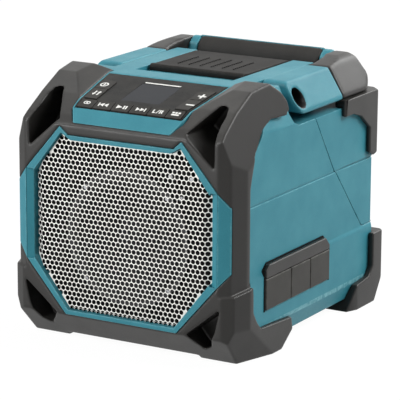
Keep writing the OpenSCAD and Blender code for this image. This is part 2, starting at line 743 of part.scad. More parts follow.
module row_key(i) color(key_grey) {
  on_row() key(row_cap(i), [[i * key_pitch + 1, row_low + 0.8], [(i + 1) * key_pitch - 1, row_low + 0.8],
    [(i + 1) * key_pitch - 1, row_high - 2.4], [i * key_pitch + 1, row_high - 2.4]]);
}
module column_key(side, w0, w1, rise) color(key_grey) {
  on_panel() mirror([side < 0 ? 1 : 0, 0, 0])
    key(column_outline(w0, w1, rise, key_gap), column_outline(w0, w1, rise, 1));
}
module key_power() { column_key(-1, column_mid, column_high, column_rise); }
module key_source() { column_key(-1, fold_gap, column_mid, 0); }
module key_plus() { column_key(1, column_mid, column_high, column_rise); }
module key_minus() { column_key(1, fold_gap, column_mid, 0); }
module key_pairing() { row_key(-3); }
module key_previous() { row_key(-2); }
module key_play() { row_key(-1); }
module key_next() { row_key(0); }
module key_stereo() { row_key(1); }
module key_mode() { row_key(2); }

// Deck pad with a rounded front lip
module deck_pad() color(frame_grey) {
  prism_x([[pad_front_d, pad_seat_z], [pad_front_d, deck_top_z - 0.4], [pad_front_d + 0.7,
    deck_top_z + 0.7],
    [pad_front_d + 2, deck_top_z + 1.3], [pad_front_d + 4, deck_top_z + 1.2],
    [pad_front_d + 8, deck_top_z + 0.6], [deck_back_d - 6, deck_top_z + 0.6],
    [deck_back_d - 1, deck_top_z - 1], [deck_back_d - 1, pad_seat_z]], -pad_x, pad_x);
}

// Folding handle
module handle_arm(front_r) {
  difference() {
    intersection() {
      prism_y([[arm_in_x, arm_low_z], [arm_out_x - 1, arm_low_z], [arm_out_x, arm_low_z + 2.5],
        [arm_top_x, arm_top_z], [arm_in_x, arm_top_z]], arm_front_d, arm_end_d);
      prism_x([[arm_front_d + 1.2, arm_top_z - 1.2], [arm_front_d, arm_top_z - 4], [arm_front_d,
        arm_low_z + front_r],
        [arm_front_d + 0.3 * front_r, arm_low_z + 0.3 * front_r], [arm_front_d + front_r, arm_low_z],
        [arm_end_d, arm_low_z], [arm_end_d, arm_top_z], [arm_front_d + 4, arm_top_z]], 0, side_x + 5);
    }
    along_x(arm_in_x - 1, side_x + 5, pivot_d, pivot_z, pivot_pin_d / 2 + pivot_fit);
    along_x(arm_in_x + 9, side_x + 5, pivot_d, pivot_z, pivot_pin_d / 2 + 2.75);
  }
}
module handle_arm_right() color(teal) handle_arm(9);
module handle_arm_left() color(teal) mirror([1, 0, 0]) handle_arm(9);
module handle_corner() {
  difference() {
    intersection() {
      prism_y([[deck_x - 1, arm_low_z], [arm_out_x - 1, arm_low_z], [arm_out_x, arm_low_z + 2.5],
        [arm_top_x, arm_top_z + 1.5], [arm_top_x - 6, grip_top_z - 1], [deck_x - 1, grip_top_z - 1]], 0,
          overall_d);
      prism_x([[arm_end_d, arm_low_z], [handle_back_d - 1, arm_low_z], [handle_back_d, arm_low_z + 2.5],
        [handle_back_d - 10, grip_top_z - 1], [arm_end_d + 26, grip_top_z - 1], [arm_end_d, arm_top_z]],
          0, side_x + 5);
      prism_z([[deck_x + 2, arm_end_d + 27], [arm_in_x + 3, arm_end_d + 21], [arm_in_x + 3, arm_end_d + 6],
        [arm_in_x, arm_end_d], [side_x + 5, arm_end_d], [side_x + 5, handle_back_d - 28],
        [side_x - 1.5, handle_back_d - 14], [side_x - 5.5, handle_back_d - 5], [side_x - 13, handle_back_d],
        [deck_x + 2, handle_back_d]],
        arm_low_z - 1, grip_top_z);
    }
    bar_core(bar_half + 8, 0);
  }
}
module handle_corner_right() color(frame_grey) handle_corner();
module handle_corner_left() color(frame_grey) mirror([1, 0, 0]) handle_corner();
bar_d0 = handle_back_d - 21;
bar_d1 = handle_back_d - 6;
function grip_outline(t) = [[bar_d0 - 3 + t, grip_low_z + 5], [bar_d0 + t, grip_low_z + t],
  [bar_d1 - 1 - t, grip_low_z + t],
  [bar_d1 + 3 - t, grip_low_z + 5], [bar_d1 + 1 - t, grip_top_z - 8], [bar_d1 - 4 - t, grip_top_z - t],
  [bar_d0 + 6 + t, grip_top_z - t], [bar_d0 + t, grip_top_z - 5], [bar_d0 - 3 + t, grip_top_z - 12]];
module bar_core(half, t) {
  prism_x([[bar_d0 + 2 - t, grip_low_z + 6 - t], [bar_d1 - 1 + t, grip_low_z + 6 - t], [bar_d1 - 1 + t,
    grip_top_z - 9 + t],
    [bar_d0 + 2 - t, grip_top_z - 9 + t]], -half, half);
}
module handle_bar() color(teal) {
  bar_core(bar_half + 8, 0);
  both() prism_x(grip_outline(0.6), grip_half, bar_half);
  block(-grip_half - 1, grip_half + 1, bar_d0 + 6.9, bar_d0 + 8.6, grip_top_z - 10, grip_top_z + 0.3);
}
module handle_grip() color(frame_grey) {
  difference() {
    prism_x(grip_outline(0), -grip_half, grip_half);
    bar_core(grip_half + 1, 0);
    block(-grip_half - 2, grip_half + 2, bar_d0 + 6.9, bar_d0 + 8.6, grip_top_z - 11, grip_top_z + 2);
  }
}
module handle_pivots() color(steel) {
  both() {
    along_x(deck_x - 13, arm_in_x + 9.5, pivot_d, pivot_z, pivot_pin_d / 2);
    difference() {
      along_x(arm_in_x + 9.3, arm_in_x + 13, pivot_d, pivot_z, pivot_pin_d / 2 + 2);
      along_x(arm_in_x + 11, arm_in_x + 14, pivot_d, pivot_z, 2.2);
    }
  }
}

// Rear bumpers
upper_outer_x = side_x + 2;
upper_back_d = back_d + 10;
module rear_bumper_upper() {
  difference() {
    intersection() {
      prism_x([[arm_end_d - 1, pocket_floor_z - 6.5], [arm_end_d - 1, arm_low_z - 1.6], [arm_end_d,
        arm_low_z - 0.4],
        [upper_back_d - 2, arm_low_z - 0.4], [upper_back_d, arm_low_z - 3], [upper_back_d, groove_z + 6],
        [back_d - 4, groove_z + 2], [back_d - 11, groove_z + 6], [back_d - 11, groove_z + 25],
          [back_d - 26, pocket_floor_z - 10.5],
        [arm_end_d + 13, pocket_floor_z - 6.5]], 60, side_x + 9);
      prism_z([[deck_x + 16, arm_end_d - 2], [upper_outer_x - 1, arm_end_d - 2], [upper_outer_x,
        arm_end_d + 1],
        [upper_outer_x, upper_back_d - 9], [upper_outer_x - 9, upper_back_d], [deck_x + 16, upper_back_d]],
        groove_z, arm_low_z);
    }
    case_solid_rear();
    handle_rear_floor();
  }
}
// Body faces that the rear bumpers sit on
module case_solid_rear() {
  intersection() {
    case_body();
    block(-side_x - 5, side_x + 5, 140, overall_d, -foot, pocket_floor_z);
  }
}
module handle_rear_floor() {
  block(0, upper_x - 6, 100, back_d - 6, pocket_floor_z - 1, deck_z);
}
module rear_bumper_upper_right() color(frame_grey) rear_bumper_upper();
module rear_bumper_upper_left() color(frame_grey) mirror([1, 0, 0]) rear_bumper_upper();
module rear_bumper_lower() {
  difference() {
    intersection() {
      prism_x([[back_d - 44, -foot], [back_d - 34, base_edge_z - 2], [back_d - 14, base_edge_z + 0.5],
        [back_d - 8, base_edge_z + 8], [back_d - 8, ledge_z - 4], [overall_d - 4, ledge_z - 4],
        [overall_d - 0.5, ledge_z - 8], [overall_d, 24], [overall_d - 18, -foot]], 50, side_x + 9);
      prism_z([[side_x - 24, back_d - 60], [side_x, back_d - 46], [overall_w / 2, back_d - 34],
        [overall_w / 2, overall_d - 7], [overall_w / 2 - 7, overall_d], [side_x - 24, overall_d]],
        -foot - 1, ledge_z + 1);
    }
    case_solid_rear();
  }
}
module rear_bumper_lower_right() color(frame_grey) rear_bumper_lower();
module rear_bumper_lower_left() color(frame_grey) mirror([1, 0, 0]) rear_bumper_lower();

// Port cover with three hinged flaps, and the sockets behind it
flap_ends = [port_d0, port_d0 + 38, port_d0 + 68, port_d0 + port_len];
module port_cover() color(frame_grey) {
  intersection() {
    prism_x(port_outline(0), side_x - 1.9, flap_x);
    prism_x([[0, port_hinge_z + 0.4], [overall_d, port_hinge_z + 0.4], [overall_d, 120], [0, 120]], 0,
      side_x + 5);
  }
}
module flap(i) color(flap_grey) {
  d0 = flap_ends[i] + (i == 0 ? 0 : flap_gap / 2);
  d1 = flap_ends[i + 1] - (i == 2 ? 0 : flap_gap / 2);
  block(side_x - 1.6, flap_x, d0, d1, port_low_z, port_hinge_z);
  block(side_x - 4.6, side_x - 1.5, d0 + 9, d1 - 9, port_low_z + 7, port_hinge_z - 6);
}
module flap_usb() { flap(0); }
module flap_power() { flap(1); }
module flap_audio() { flap(2); }
socket_d = [for (i = [0:2]) (flap_ends[i] + flap_ends[i + 1]) / 2];
socket_z = (port_low_z + port_hinge_z) / 2 + 0.5;
socket_fit = 0.05;
usb_half = [6.2, 2.6];
dc_wall = 2;
aux_wall = 1.6;
module port_tray() color(panel_black) {
  difference() {
    tray_box();
    block(port_floor_x, side_x, port_d0 + 4, port_d0 + port_len - 4, port_low_z + 3, port_hinge_z + 2);
    block(port_floor_x - 5, side_x, socket_d[0] - usb_half[0] - socket_fit,
      socket_d[0] + usb_half[0] + socket_fit,
      socket_z - usb_half[1] - socket_fit, socket_z + usb_half[1] + socket_fit);
    along_x(port_floor_x - 5, side_x, socket_d[1], socket_z, dc_bore / 2 + dc_wall + socket_fit);
    along_x(port_floor_x - 5, side_x, socket_d[2], socket_z, aux_bore / 2 + aux_wall + socket_fit);
  }
}
module usb_block(x0, x1, t) {
  block(x0, x1, socket_d[0] - usb_half[0] + t, socket_d[0] + usb_half[0] - t,
    socket_z - usb_half[1] + t, socket_z + usb_half[1] - t);
}
module usb_socket() color(steel) {
  difference() {
    usb_block(port_floor_x - 14, port_floor_x + 0.6, 0);
    usb_block(port_floor_x - 13, port_floor_x + 2, 0.4);
  }
  block(port_floor_x - 13.5, port_floor_x - 1, socket_d[0] - usb_half[0] + 1, socket_d[0] + usb_half[0] - 1,
    socket_z + 0.3, socket_z + usb_half[1] - 1);
}
module power_inlet() color(panel_black) {
  difference() {
    union() {
      along_x(port_floor_x - 14, port_floor_x + 1, socket_d[1], socket_z, dc_bore / 2 + dc_wall);
      block(port_floor_x - 14, port_floor_x - 2, socket_d[1] - 5, socket_d[1] + 5, socket_z - 5,
        socket_z + 5);
    }
    along_x(port_floor_x - 11, port_floor_x + 2, socket_d[1], socket_z, dc_bore / 2);
  }
}
module audio_socket() color(panel_black) {
  difference() {
    union() {
      along_x(port_floor_x - 16, port_floor_x + 1, socket_d[2], socket_z, aux_bore / 2 + aux_wall);
      block(port_floor_x - 16, port_floor_x - 2, socket_d[2] - 4, socket_d[2] + 4, socket_z - 4,
        socket_z + 4);
    }
    along_x(port_floor_x - 15, port_floor_x + 2, socket_d[2], socket_z, aux_bore / 2);
  }
}

// Battery bay, its cover and the latch
latch_half = 16;
latch_z = cover_top_z - 8;
latch_drop = 20;
module battery_cover() color(teal) {
  difference() {
    union() {
      block(-cover_w / 2, cover_w / 2, back_d - 1.5, back_d + 1.5, cover_low_z, cover_top_z);
      block(-cover_w / 2 + 8, cover_w / 2 - 8, back_d + 1, back_d + 3, cover_low_z + 9,
        latch_z - latch_drop - 3);
      along_x(-knuckle_half, knuckle_half, cover_hinge_d, cover_hinge_z, knuckle_r);
      block(-knuckle_half, knuckle_half, back_d - 1.5, back_d + 1.5, cover_hinge_z, cover_low_z + 1);
    }
    along_x(-knuckle_half - 1, knuckle_half + 1, cover_hinge_d, cover_hinge_z, hinge_pin_d / 2 + hinge_fit);
    block(-latch_half - 0.5, latch_half + 0.5, back_d + 0.1, overall_d, latch_z - latch_drop,
      cover_top_z + 1);
    block(-latch_half - 0.5, latch_half + 0.5, back_d - 2, overall_d, latch_z - 5, latch_z + 3.2);
    along_x(-latch_half - 5, latch_half + 5, back_d, latch_z, 1);
  }
}
module cover_latch() color(frame_grey) {
  difference() {
    union() {
      block(-latch_half, latch_half, back_d + 0.4, back_d + 3.4, latch_z - latch_drop + 2, latch_z);
      along_x(-latch_half, latch_half, back_d, latch_z, 2.7);
      block(-latch_half + 5, latch_half - 5, back_d - 6, back_d - 1.5, latch_z - 2, latch_z + 1.5);
    }
    along_x(-latch_half - 1, latch_half + 1, back_d, latch_z, 1.05);
  }
}
module latch_pin() color(steel) {
  along_x(-latch_half - 5, latch_half + 5, back_d, latch_z, 1);
}
module cover_hinge_pin() color(steel) {
  along_x(-knuckle_half - 11, knuckle_half + 11, cover_hinge_d, cover_hinge_z, hinge_pin_d / 2);
}
module cover_gasket() color([0.08, 0.08, 0.08]) {
  difference() {
    block(-bay_x - 1.6, bay_x + 1.6, back_d - 2, back_d - 1.8, bay_low_z - 1.6, bay_top_z + 1.6);
    block(-bay_x, bay_x, back_d - 10, overall_d, bay_low_z, bay_top_z);
  }
}
bay_stud = 8;
module battery_bay() color(panel_black) {
  difference() {
    union() {
      block(-bay_x - 2.5, bay_x + 2.5, bay_front_d - 2.5, back_d - wall, bay_low_z - 2.5, bay_top_z + 2.5);
      both() for (z = [bay_low_z + 6, bay_top_z - 6])
        along_y(bay_front_d - bay_stud, bay_front_d - 2, bay_x - 10, z, 3);
    }
    block(-bay_x, bay_x, bay_front_d, back_d, bay_low_z, bay_top_z);
  }
}
rail_half = 22;
rail_len = 44;
rail_h = 12;
rail_slot = 3.5;
contact_pitch = 10;
module battery_rail() color([0.16, 0.16, 0.17]) {
  difference() {
    block(-rail_half, rail_half, bay_front_d, bay_front_d + rail_len, bay_low_z, bay_low_z + rail_h);
    both() block(rail_half - 5, rail_half + 1, bay_front_d - 1, bay_front_d + rail_len + 1,
      bay_low_z + rail_h / 3, bay_low_z + rail_h / 3 + rail_slot);
    for (x = [-contact_pitch, 0, contact_pitch])
      block(x - 1, x + 1, bay_front_d + 10, bay_front_d + rail_len + 1, bay_low_z + 5,
        bay_low_z + rail_h + 1);
  }
}
board_t = 1.6;
board_d = bay_front_d - bay_stud - board_t;
part_h = 12.4;
module main_board() color(board_green) {
  block(-bay_x + 4, bay_x - 4, board_d, board_d + board_t, bay_low_z, bay_top_z);
  both() block(14, 30, board_d - part_h, board_d, bay_low_z + 30, bay_low_z + 46);
}

// Fasteners
module screw_y(d, x, z, head_r, shank_r, reach, dir) {
  along_y(dir > 0 ? d - 2 : d, dir > 0 ? d : d + 2, x, z, head_r);
  along_y(dir > 0 ? d - 1 : d - reach, dir > 0 ? d + reach : d + 1, x, z, shank_r);
}
module housing_screws() color(steel) {
  for (i = [0, 1]) both() screw_y(tower_part_d[i] + 8, tower_x, tower_z[i], 3, 1.6, 20, -1);
}
module frame_screws() color(steel) {
  for (s = frame_screw_spots) both() screw_y(s[2], s[0], s[1], 3.4, 1.6, 14, 1);
}

front_housing();
rear_housing();
front_frame();
grille();
baffle();
woofer_basket();
woofer_magnet();
woofer_surround();
woofer_spider();
woofer_cone();
dust_cap();
tweeter();
control_panel();
display_window();
control_board();
key_power();
key_source();
key_pairing();
key_previous();
key_play();
key_next();
key_stereo();
key_mode();
key_minus();
key_plus();
deck_pad();
handle_arm_left();
handle_arm_right();
handle_corner_left();
handle_corner_right();
handle_bar();
handle_grip();
handle_pivots();
rear_bumper_upper_left();
rear_bumper_upper_right();
rear_bumper_lower_left();
rear_bumper_lower_right();
port_cover();
flap_usb();
flap_power();
flap_audio();
port_tray();
usb_socket();
power_inlet();
audio_socket();
battery_cover();
cover_latch();
latch_pin();
cover_hinge_pin();
cover_gasket();
battery_bay();
battery_rail();
main_board();
housing_screws();
frame_screws();
driver_screws();
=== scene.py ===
import json
import math
import bmesh
import bpy
import numpy as np
from mathutils import Matrix, Vector


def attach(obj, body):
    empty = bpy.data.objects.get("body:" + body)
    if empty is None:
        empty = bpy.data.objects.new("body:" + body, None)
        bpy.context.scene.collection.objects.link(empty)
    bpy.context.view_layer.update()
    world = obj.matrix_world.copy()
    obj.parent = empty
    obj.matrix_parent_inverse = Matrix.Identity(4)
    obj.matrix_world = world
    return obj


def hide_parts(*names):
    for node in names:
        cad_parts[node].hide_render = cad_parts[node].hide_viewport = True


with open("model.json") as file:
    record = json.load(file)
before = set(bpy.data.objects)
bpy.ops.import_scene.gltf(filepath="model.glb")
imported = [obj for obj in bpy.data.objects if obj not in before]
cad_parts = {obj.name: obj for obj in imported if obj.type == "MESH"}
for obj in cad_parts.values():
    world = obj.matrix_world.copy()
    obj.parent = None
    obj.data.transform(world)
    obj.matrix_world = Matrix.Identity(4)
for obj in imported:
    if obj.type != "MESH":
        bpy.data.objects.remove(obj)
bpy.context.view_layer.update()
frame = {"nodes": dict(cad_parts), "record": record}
mm = 0.001
frontEdge, footHeight = 117.0, 2.5  # from depth and height on the drawing to the shared frame
nodes = frame["nodes"]
record = frame["record"]
bodyOf = {n: body for body, members in record["behaviour"]["bodies"].items() for n in members}
slotOf = {part["node"]: part["material_slot"] for part in record["subparts"]}
scene = bpy.context.scene
print("frame:", len(nodes), "nodes")

# camera at the photograph's angle
cameraPlan = {
    "lens": 220.5, "place": (0.9052, -1.5579, 0.5387), "roll": -0.27,
    "right": (0.8643, 0.503, 0.0), "back": (0.488, -0.8386, 0.2419),
}


def placeCamera(plan):
    data = bpy.data.cameras.new("studioCamera")
    data.lens = plan["lens"]
    data.sensor_width = 36
    data.clip_end = 30
    back = Vector(plan["back"]).normalized()
    right = Vector(plan["right"]).normalized()
    up = back.cross(right)
    roll = math.radians(plan["roll"])
    x = right * math.cos(roll) - up * math.sin(roll)
    y = right * math.sin(roll) + up * math.cos(roll)
    camera = bpy.data.objects.new("studioCamera", data)
    scene.collection.objects.link(camera)
    turn = Matrix((x, y, back)).transposed().to_4x4()
    camera.matrix_world = Matrix.Translation(plan["place"]) @ turn
    scene.camera = camera


placeCamera(cameraPlan)


def spotAt(x, d, z):
    return (x * mm, (d - frontEdge) * mm, (z + footHeight) * mm)


def linear(level):
    share = level / 255
    return share / 12.92 if level < 11 else ((share + 0.055) / 1.055) ** 2.4


def shade(red, green, blue):
    return (linear(red), linear(green), linear(blue), 1.0)


# shared shader groups
def newGroup(name, inputs, outputs):
    tree = bpy.data.node_groups.new(name, "ShaderNodeTree")
    for label, value in inputs:
        socket = tree.interface.new_socket(label, in_out="INPUT", socket_type="NodeSocketFloat")
        socket.default_value = value
    for label in outputs:
        tree.interface.new_socket(label, in_out="OUTPUT", socket_type="NodeSocketFloat")
    return tree, tree.nodes.new("NodeGroupInput"), tree.nodes.new("NodeGroupOutput")


def mathNode(tree, operation, a, b, clamp=False):
    node = tree.nodes.new("ShaderNodeMath")
    node.operation = operation
    node.use_clamp = clamp
    for socket, value in zip(node.inputs, (a, b)):
        if isinstance(value, (int, float)):
            socket.default_value = value
        else:
            tree.links.new(value, socket)
    return node.outputs[0]


def noiseNode(tree, where, scale, detail=2.0, rough=0.55):
    node = tree.nodes.new("ShaderNodeTexNoise")
    node.inputs["Detail"].default_value = detail
    node.inputs["Roughness"].default_value = rough
    tree.links.new(where, node.inputs["Vector"])
    if isinstance(scale, (int, float)):
        node.inputs["Scale"].default_value = scale
    else:
        tree.links.new(scale, node.inputs["Scale"])
    return node.outputs["Fac"]


def rangeNode(tree, value, low, high, newLow=0.0, newHigh=1.0):
    node = tree.nodes.new("ShaderNodeMapRange")
    tree.links.new(value, node.inputs[0])
    for i, number in enumerate((low, high, newLow, newHigh)):
        node.inputs[i + 1].default_value = number
    return node.outputs[0]


def buildGrain():
    tree, start, end = newGroup("mouldedGrain", (("Fine", 1800), ("Broad", 40)), ("Tone", "Height"))
    where = tree.nodes.new("ShaderNodeTexCoord").outputs["Object"]
    fine = noiseNode(tree, where, start.outputs["Fine"])
    cell = tree.nodes.new("ShaderNodeTexVoronoi")
    tree.links.new(where, cell.inputs["Vector"])
    tree.links.new(start.outputs["Fine"], cell.inputs["Scale"])
    broad = noiseNode(tree, where, start.outputs["Broad"], 4.0)
    height = mathNode(tree, "ADD", mathNode(tree, "MULTIPLY", fine, 0.6),
                      mathNode(tree, "MULTIPLY", cell.outputs["Distance"], 0.5))
    tone = mathNode(tree, "ADD", mathNode(tree, "MULTIPLY", rangeNode(tree, fine, 0.3, 0.7), 0.45),
                    mathNode(tree, "MULTIPLY", rangeNode(tree, broad, 0.3, 0.7), 0.55))
    tree.links.new(tone, end.inputs["Tone"])
    tree.links.new(height, end.inputs["Height"])
    return tree


# edge wear mask from the edge mark; where the mark is above 1 the mask paints a highlight
def buildWearAndHighlight():
    tree, start, end = newGroup("edgeWearAndHighlight", (("Amount", 0.5), ("Scale", 160)), ("Mask",))
    where = tree.nodes.new("ShaderNodeTexCoord").outputs["Object"]
    edge = tree.nodes.new("ShaderNodeAttribute")
    edge.attribute_name = "edge"
    spots = rangeNode(tree, noiseNode(tree, where, start.outputs["Scale"], 5.0, 0.7), 0.38, 0.72)
    mask = mathNode(tree, "MULTIPLY", mathNode(tree, "MULTIPLY", edge.outputs["Fac"], spots),
                    start.outputs["Amount"], True)
    tree.links.new(mask, end.inputs["Mask"])
    return tree


def buildDust():
    tree, start, end = newGroup("settledDust", (("Amount", 0.1), ("Scale", 60)), ("Mask",))
    spot = tree.nodes.new("ShaderNodeTexCoord")
    axes = tree.nodes.new("ShaderNodeSeparateXYZ")
    tree.links.new(spot.outputs["Normal"], axes.inputs[0])
    flat = rangeNode(tree, axes.outputs[2], 0.55, 1.0)
    noise = noiseNode(tree, spot.outputs["Object"], start.outputs["Scale"], 6.0, 0.65)
    settled = mathNode(tree, "MULTIPLY", flat, rangeNode(tree, noise, 0.35, 0.8))
    mask = mathNode(tree, "MULTIPLY", settled, start.outputs["Amount"], True)
    tree.links.new(mask, end.inputs["Mask"])
    return tree


grainGroup, wearAndHighlightGroup, dustGroup = buildGrain(), buildWearAndHighlight(), buildDust()


def mixColour(tree, factor, a, b):
    node = tree.nodes.new("ShaderNodeMix")
    node.data_type = "RGBA"
    tree.links.new(factor, node.inputs[0])
    for socket, value in ((node.inputs[6], a), (node.inputs[7], b)):
        if isinstance(value, tuple):
            socket.default_value = value
        else:
            tree.links.new(value, socket)
    return node.outputs[2]


def groupNode(tree, group, **values):
    node = tree.nodes.new("ShaderNodeGroup")
    node.node_tree = group
    for label, value in values.items():
        node.inputs[label].default_value = value
    return node


def makeFinish(name, look):
    material = bpy.data.materials.new(name)
    material.use_nodes = True
    tree = material.node_tree
    skin = tree.nodes["Principled BSDF"]
    grain = groupNode(tree, grainGroup, Fine=look.get("fine", 1800), Broad=look.get("broad", 45))
    wear_and_highlight = groupNode(tree, wearAndHighlightGroup, Amount=look.get("wear_and_highlight", 0.25), Scale=look.get("wearScale", 170))
    dust = groupNode(tree, dustGroup, Amount=look.get("dust", 0.06))
    colour = mixColour(tree, grain.outputs["Tone"], look["deep"], look["colour"])
    # worn colour on marked edges: real wear, and a painted highlight on the case's lower edge
    colour = mixColour(tree, wear_and_highlight.outputs["Mask"], colour, look.get("worn_and_highlight", look["colour"]))
    colour = mixColour(tree, dust.outputs["Mask"], colour, shade(168, 162, 150))
    tree.links.new(colour, skin.inputs["Base Color"])
    low, high = look["rough"]
    rough = rangeNode(tree, grain.outputs["Tone"], 0, 1, high, low)
    dulled = mathNode(tree, "MULTIPLY", dust.outputs["Mask"], 0.3)
    tree.links.new(mathNode(tree, "ADD", rough, dulled, True), skin.inputs["Roughness"])
    bump = tree.nodes.new("ShaderNodeBump")
    bump.inputs["Strength"].default_value = look.get("bump", 0.12)
    bump.inputs["Distance"].default_value = look.get("relief", 0.0002)
    tree.links.new(grain.outputs["Height"], bump.inputs["Height"])
    tree.links.new(bump.outputs["Normal"], skin.inputs["Normal"])
    skin.inputs["Metallic"].default_value = look.get("metal", 0.0)
    skin.inputs["Specular IOR Level"].default_value = look.get("specular", 0.5)
    skin.inputs["Coat Weight"].default_value = look.get("coat", 0.0)
    skin.inputs["Coat Roughness"].default_value = 0.06
    return material


finishLooks = {
    # the case plastic's worn colour also paints the highlight on its lower edge
    "case_plastic": {
        "colour": shade(62, 140, 154), "deep": shade(52, 124, 139), "rough": (0.36, 0.5), "fine": 1500,
        "bump": 0.3, "wear_and_highlight": 0.6, "worn_and_highlight": shade(120, 180, 190), "specular": 0.2},
    "frame_rubber": {
        "colour": shade(43, 42, 40), "deep": shade(35, 34, 33), "rough": (0.32, 0.44), "fine": 1500,
        "bump": 0.16, "wear_and_highlight": 0.22, "worn_and_highlight": shade(74, 73, 70), "specular": 0.3},
    "grille_metal": {
        "colour": shade(246, 245, 240), "deep": shade(232, 230, 224), "rough": (0.3, 0.42), "fine": 2600,
        "bump": 0.06, "metal": 0.1, "wear_and_highlight": 0.2, "worn_and_highlight": shade(240, 240, 238), "dust": 0.0},
    "dark_plastic": {
        "colour": shade(24, 24, 23), "deep": shade(18, 18, 17), "rough": (0.24, 0.34), "fine": 2400,
        "bump": 0.1, "wear_and_highlight": 0.2, "worn_and_highlight": shade(60, 60, 58), "specular": 0.07},
    "key_rubber": {
        "colour": shade(54, 53, 51), "deep": shade(46, 45, 43), "rough": (0.45, 0.58), "fine": 2600,
        "bump": 0.12, "wear_and_highlight": 0.35, "worn_and_highlight": shade(92, 90, 86), "specular": 0.12},
    "flap_rubber": {
        "colour": shade(60, 59, 56), "deep": shade(50, 49, 47), "rough": (0.45, 0.58), "fine": 1800,
        "bump": 0.16, "wear_and_highlight": 0.4, "worn_and_highlight": shade(118, 117, 112), "specular": 0.2},
    "display_lens": {
        "colour": shade(48, 50, 54), "deep": shade(42, 44, 48), "rough": (0.08, 0.16), "fine": 400,
        "bump": 0.01, "coat": 0.0, "dust": 0.0, "wear_and_highlight": 0.1, "specular": 0.07},
    "screw_steel": {
        "colour": shade(205, 206, 208), "deep": shade(170, 171, 174), "rough": (0.2, 0.36), "fine": 3200,
        "bump": 0.08, "metal": 1.0, "dust": 0.0},
    # black-oxide pivot finish, also laid on the arms' bore walls as painted shade
    "pivot_black_and_bore_shade": {
        "colour": shade(34, 34, 35), "deep": shade(24, 24, 25), "rough": (0.35, 0.5), "metal": 0.6,
        "dust": 0.0},
    # near-black stud rubber, also laid around the port cover as a painted shadow
    "stud_rubber_and_painted_shadow": {
        "colour": shade(16, 16, 16), "deep": shade(12, 12, 12), "rough": (0.6, 0.7), "dust": 0.0,
        "specular": 0.1},
    # painted shade: near-black finish for the grille's hole walls and back, standing for the shade inside the
    # holes
    "grille_painted_shade": {
        "colour": shade(20, 20, 19), "deep": shade(15, 15, 15), "rough": (0.7, 0.8), "dust": 0.0,
        "specular": 0.15},
    "grip_rubber": {
        "colour": shade(46, 45, 43), "deep": shade(38, 37, 36), "rough": (0.56, 0.68), "fine": 1300,
        "bump": 0.2, "wear_and_highlight": 0.3, "worn_and_highlight": shade(84, 83, 80), "specular": 0.18},
    "pad_rubber": {
        "colour": shade(37, 36, 35), "deep": shade(30, 29, 28), "rough": (0.6, 0.72), "fine": 1300,
        "bump": 0.2, "wear_and_highlight": 0.3, "worn_and_highlight": shade(80, 79, 76), "specular": 0.12, "dust": 0.03},
    "board_laminate": {
        "colour": shade(24, 74, 42), "deep": shade(18, 58, 33), "rough": (0.3, 0.42), "fine": 1400},
    "driver_metal": {
        "colour": shade(46, 46, 48), "deep": shade(36, 36, 38), "rough": (0.4, 0.5), "metal": 0.3},
    "magnet_iron": {
        "colour": shade(74, 74, 78), "deep": shade(58, 58, 62), "rough": (0.4, 0.55), "metal": 0.7},
    "cone_paper": {
        "colour": shade(32, 32, 34), "deep": shade(24, 24, 26), "rough": (0.6, 0.75), "fine": 900,
        "bump": 0.3, "specular": 0.25},
    "surround_rubber": {
        "colour": shade(28, 28, 28), "deep": shade(21, 21, 21), "rough": (0.55, 0.68), "specular": 0.25},
    # white key print, also laid on the display lens's upper edge as a painted highlight
    "print_and_painted_highlight": {
        "colour": shade(240, 240, 236), "deep": shade(226, 226, 221), "rough": (0.4, 0.5), "fine": 2600,
        "bump": 0.05, "dust": 0.0},
    "baffle_black": {
        "colour": shade(15, 15, 15), "deep": shade(11, 11, 11), "rough": (0.75, 0.88), "dust": 0.0,
        "specular": 0.12},
}
finish = {name: makeFinish(name, look) for name, look in finishLooks.items()}
ownFinish = {"handle_pivots": "pivot_black_and_bore_shade", "baffle": "baffle_black", "handle_grip": "grip_rubber",
             "deck_pad": "pad_rubber"}
for node, item in nodes.items():
    item.data.materials.clear()
    item.data.materials.append(finish[ownFinish.get(node, slotOf[node])])
print("finishes:", len(finish))


# mesh helpers
def addPiece(name, mesh, material, body, stands=(), keepSharp=32):
    item = bpy.data.objects.new(name, mesh)
    scene.collection.objects.link(item)
    mesh.materials.clear()
    mesh.materials.append(material)
    for face in mesh.polygons:
        face.use_smooth = True
    mesh.set_sharp_from_angle(angle=math.radians(keepSharp))
    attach(item, body)
    if stands:
        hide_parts(*stands)
    return item


def bmeshToMesh(bm, name):
    mesh = bpy.data.meshes.new(name)
    bm.to_mesh(mesh)
    bm.free()
    return mesh


def cleanCopy(node, merge=True):
    bm = bmesh.new()
    bm.from_mesh(nodes[node].data)
    bmesh.ops.remove_doubles(bm, verts=bm.verts, dist=3e-6)
    if merge:
        bmesh.ops.dissolve_limit(bm, angle_limit=math.radians(0.5), verts=bm.verts, edges=bm.edges)
    return bm


def evaluated(item):
    bpy.context.view_layer.update()
    graph = bpy.context.evaluated_depsgraph_get()
    return bpy.data.meshes.new_from_object(item.evaluated_get(graph))


# rounds edges and marks the new faces for the wear mask; a mark above 1 makes the worn colour a painted
# highlight
def roundEdges(bm, edges, width, segments, mark=1.0, slide=False):
    if "edge" not in bm.faces.layers.float:
        bm.faces.layers.float.new("edge")
    made = bmesh.ops.bevel(bm, geom=edges, offset=width * mm, offset_type="OFFSET", segments=segments,
                           profile=0.5, affect="EDGES", clamp_overlap=False, loop_slide=slide)
    layer = bm.faces.layers.float["edge"]
    for face in made["faces"]:
        face[layer] = mark


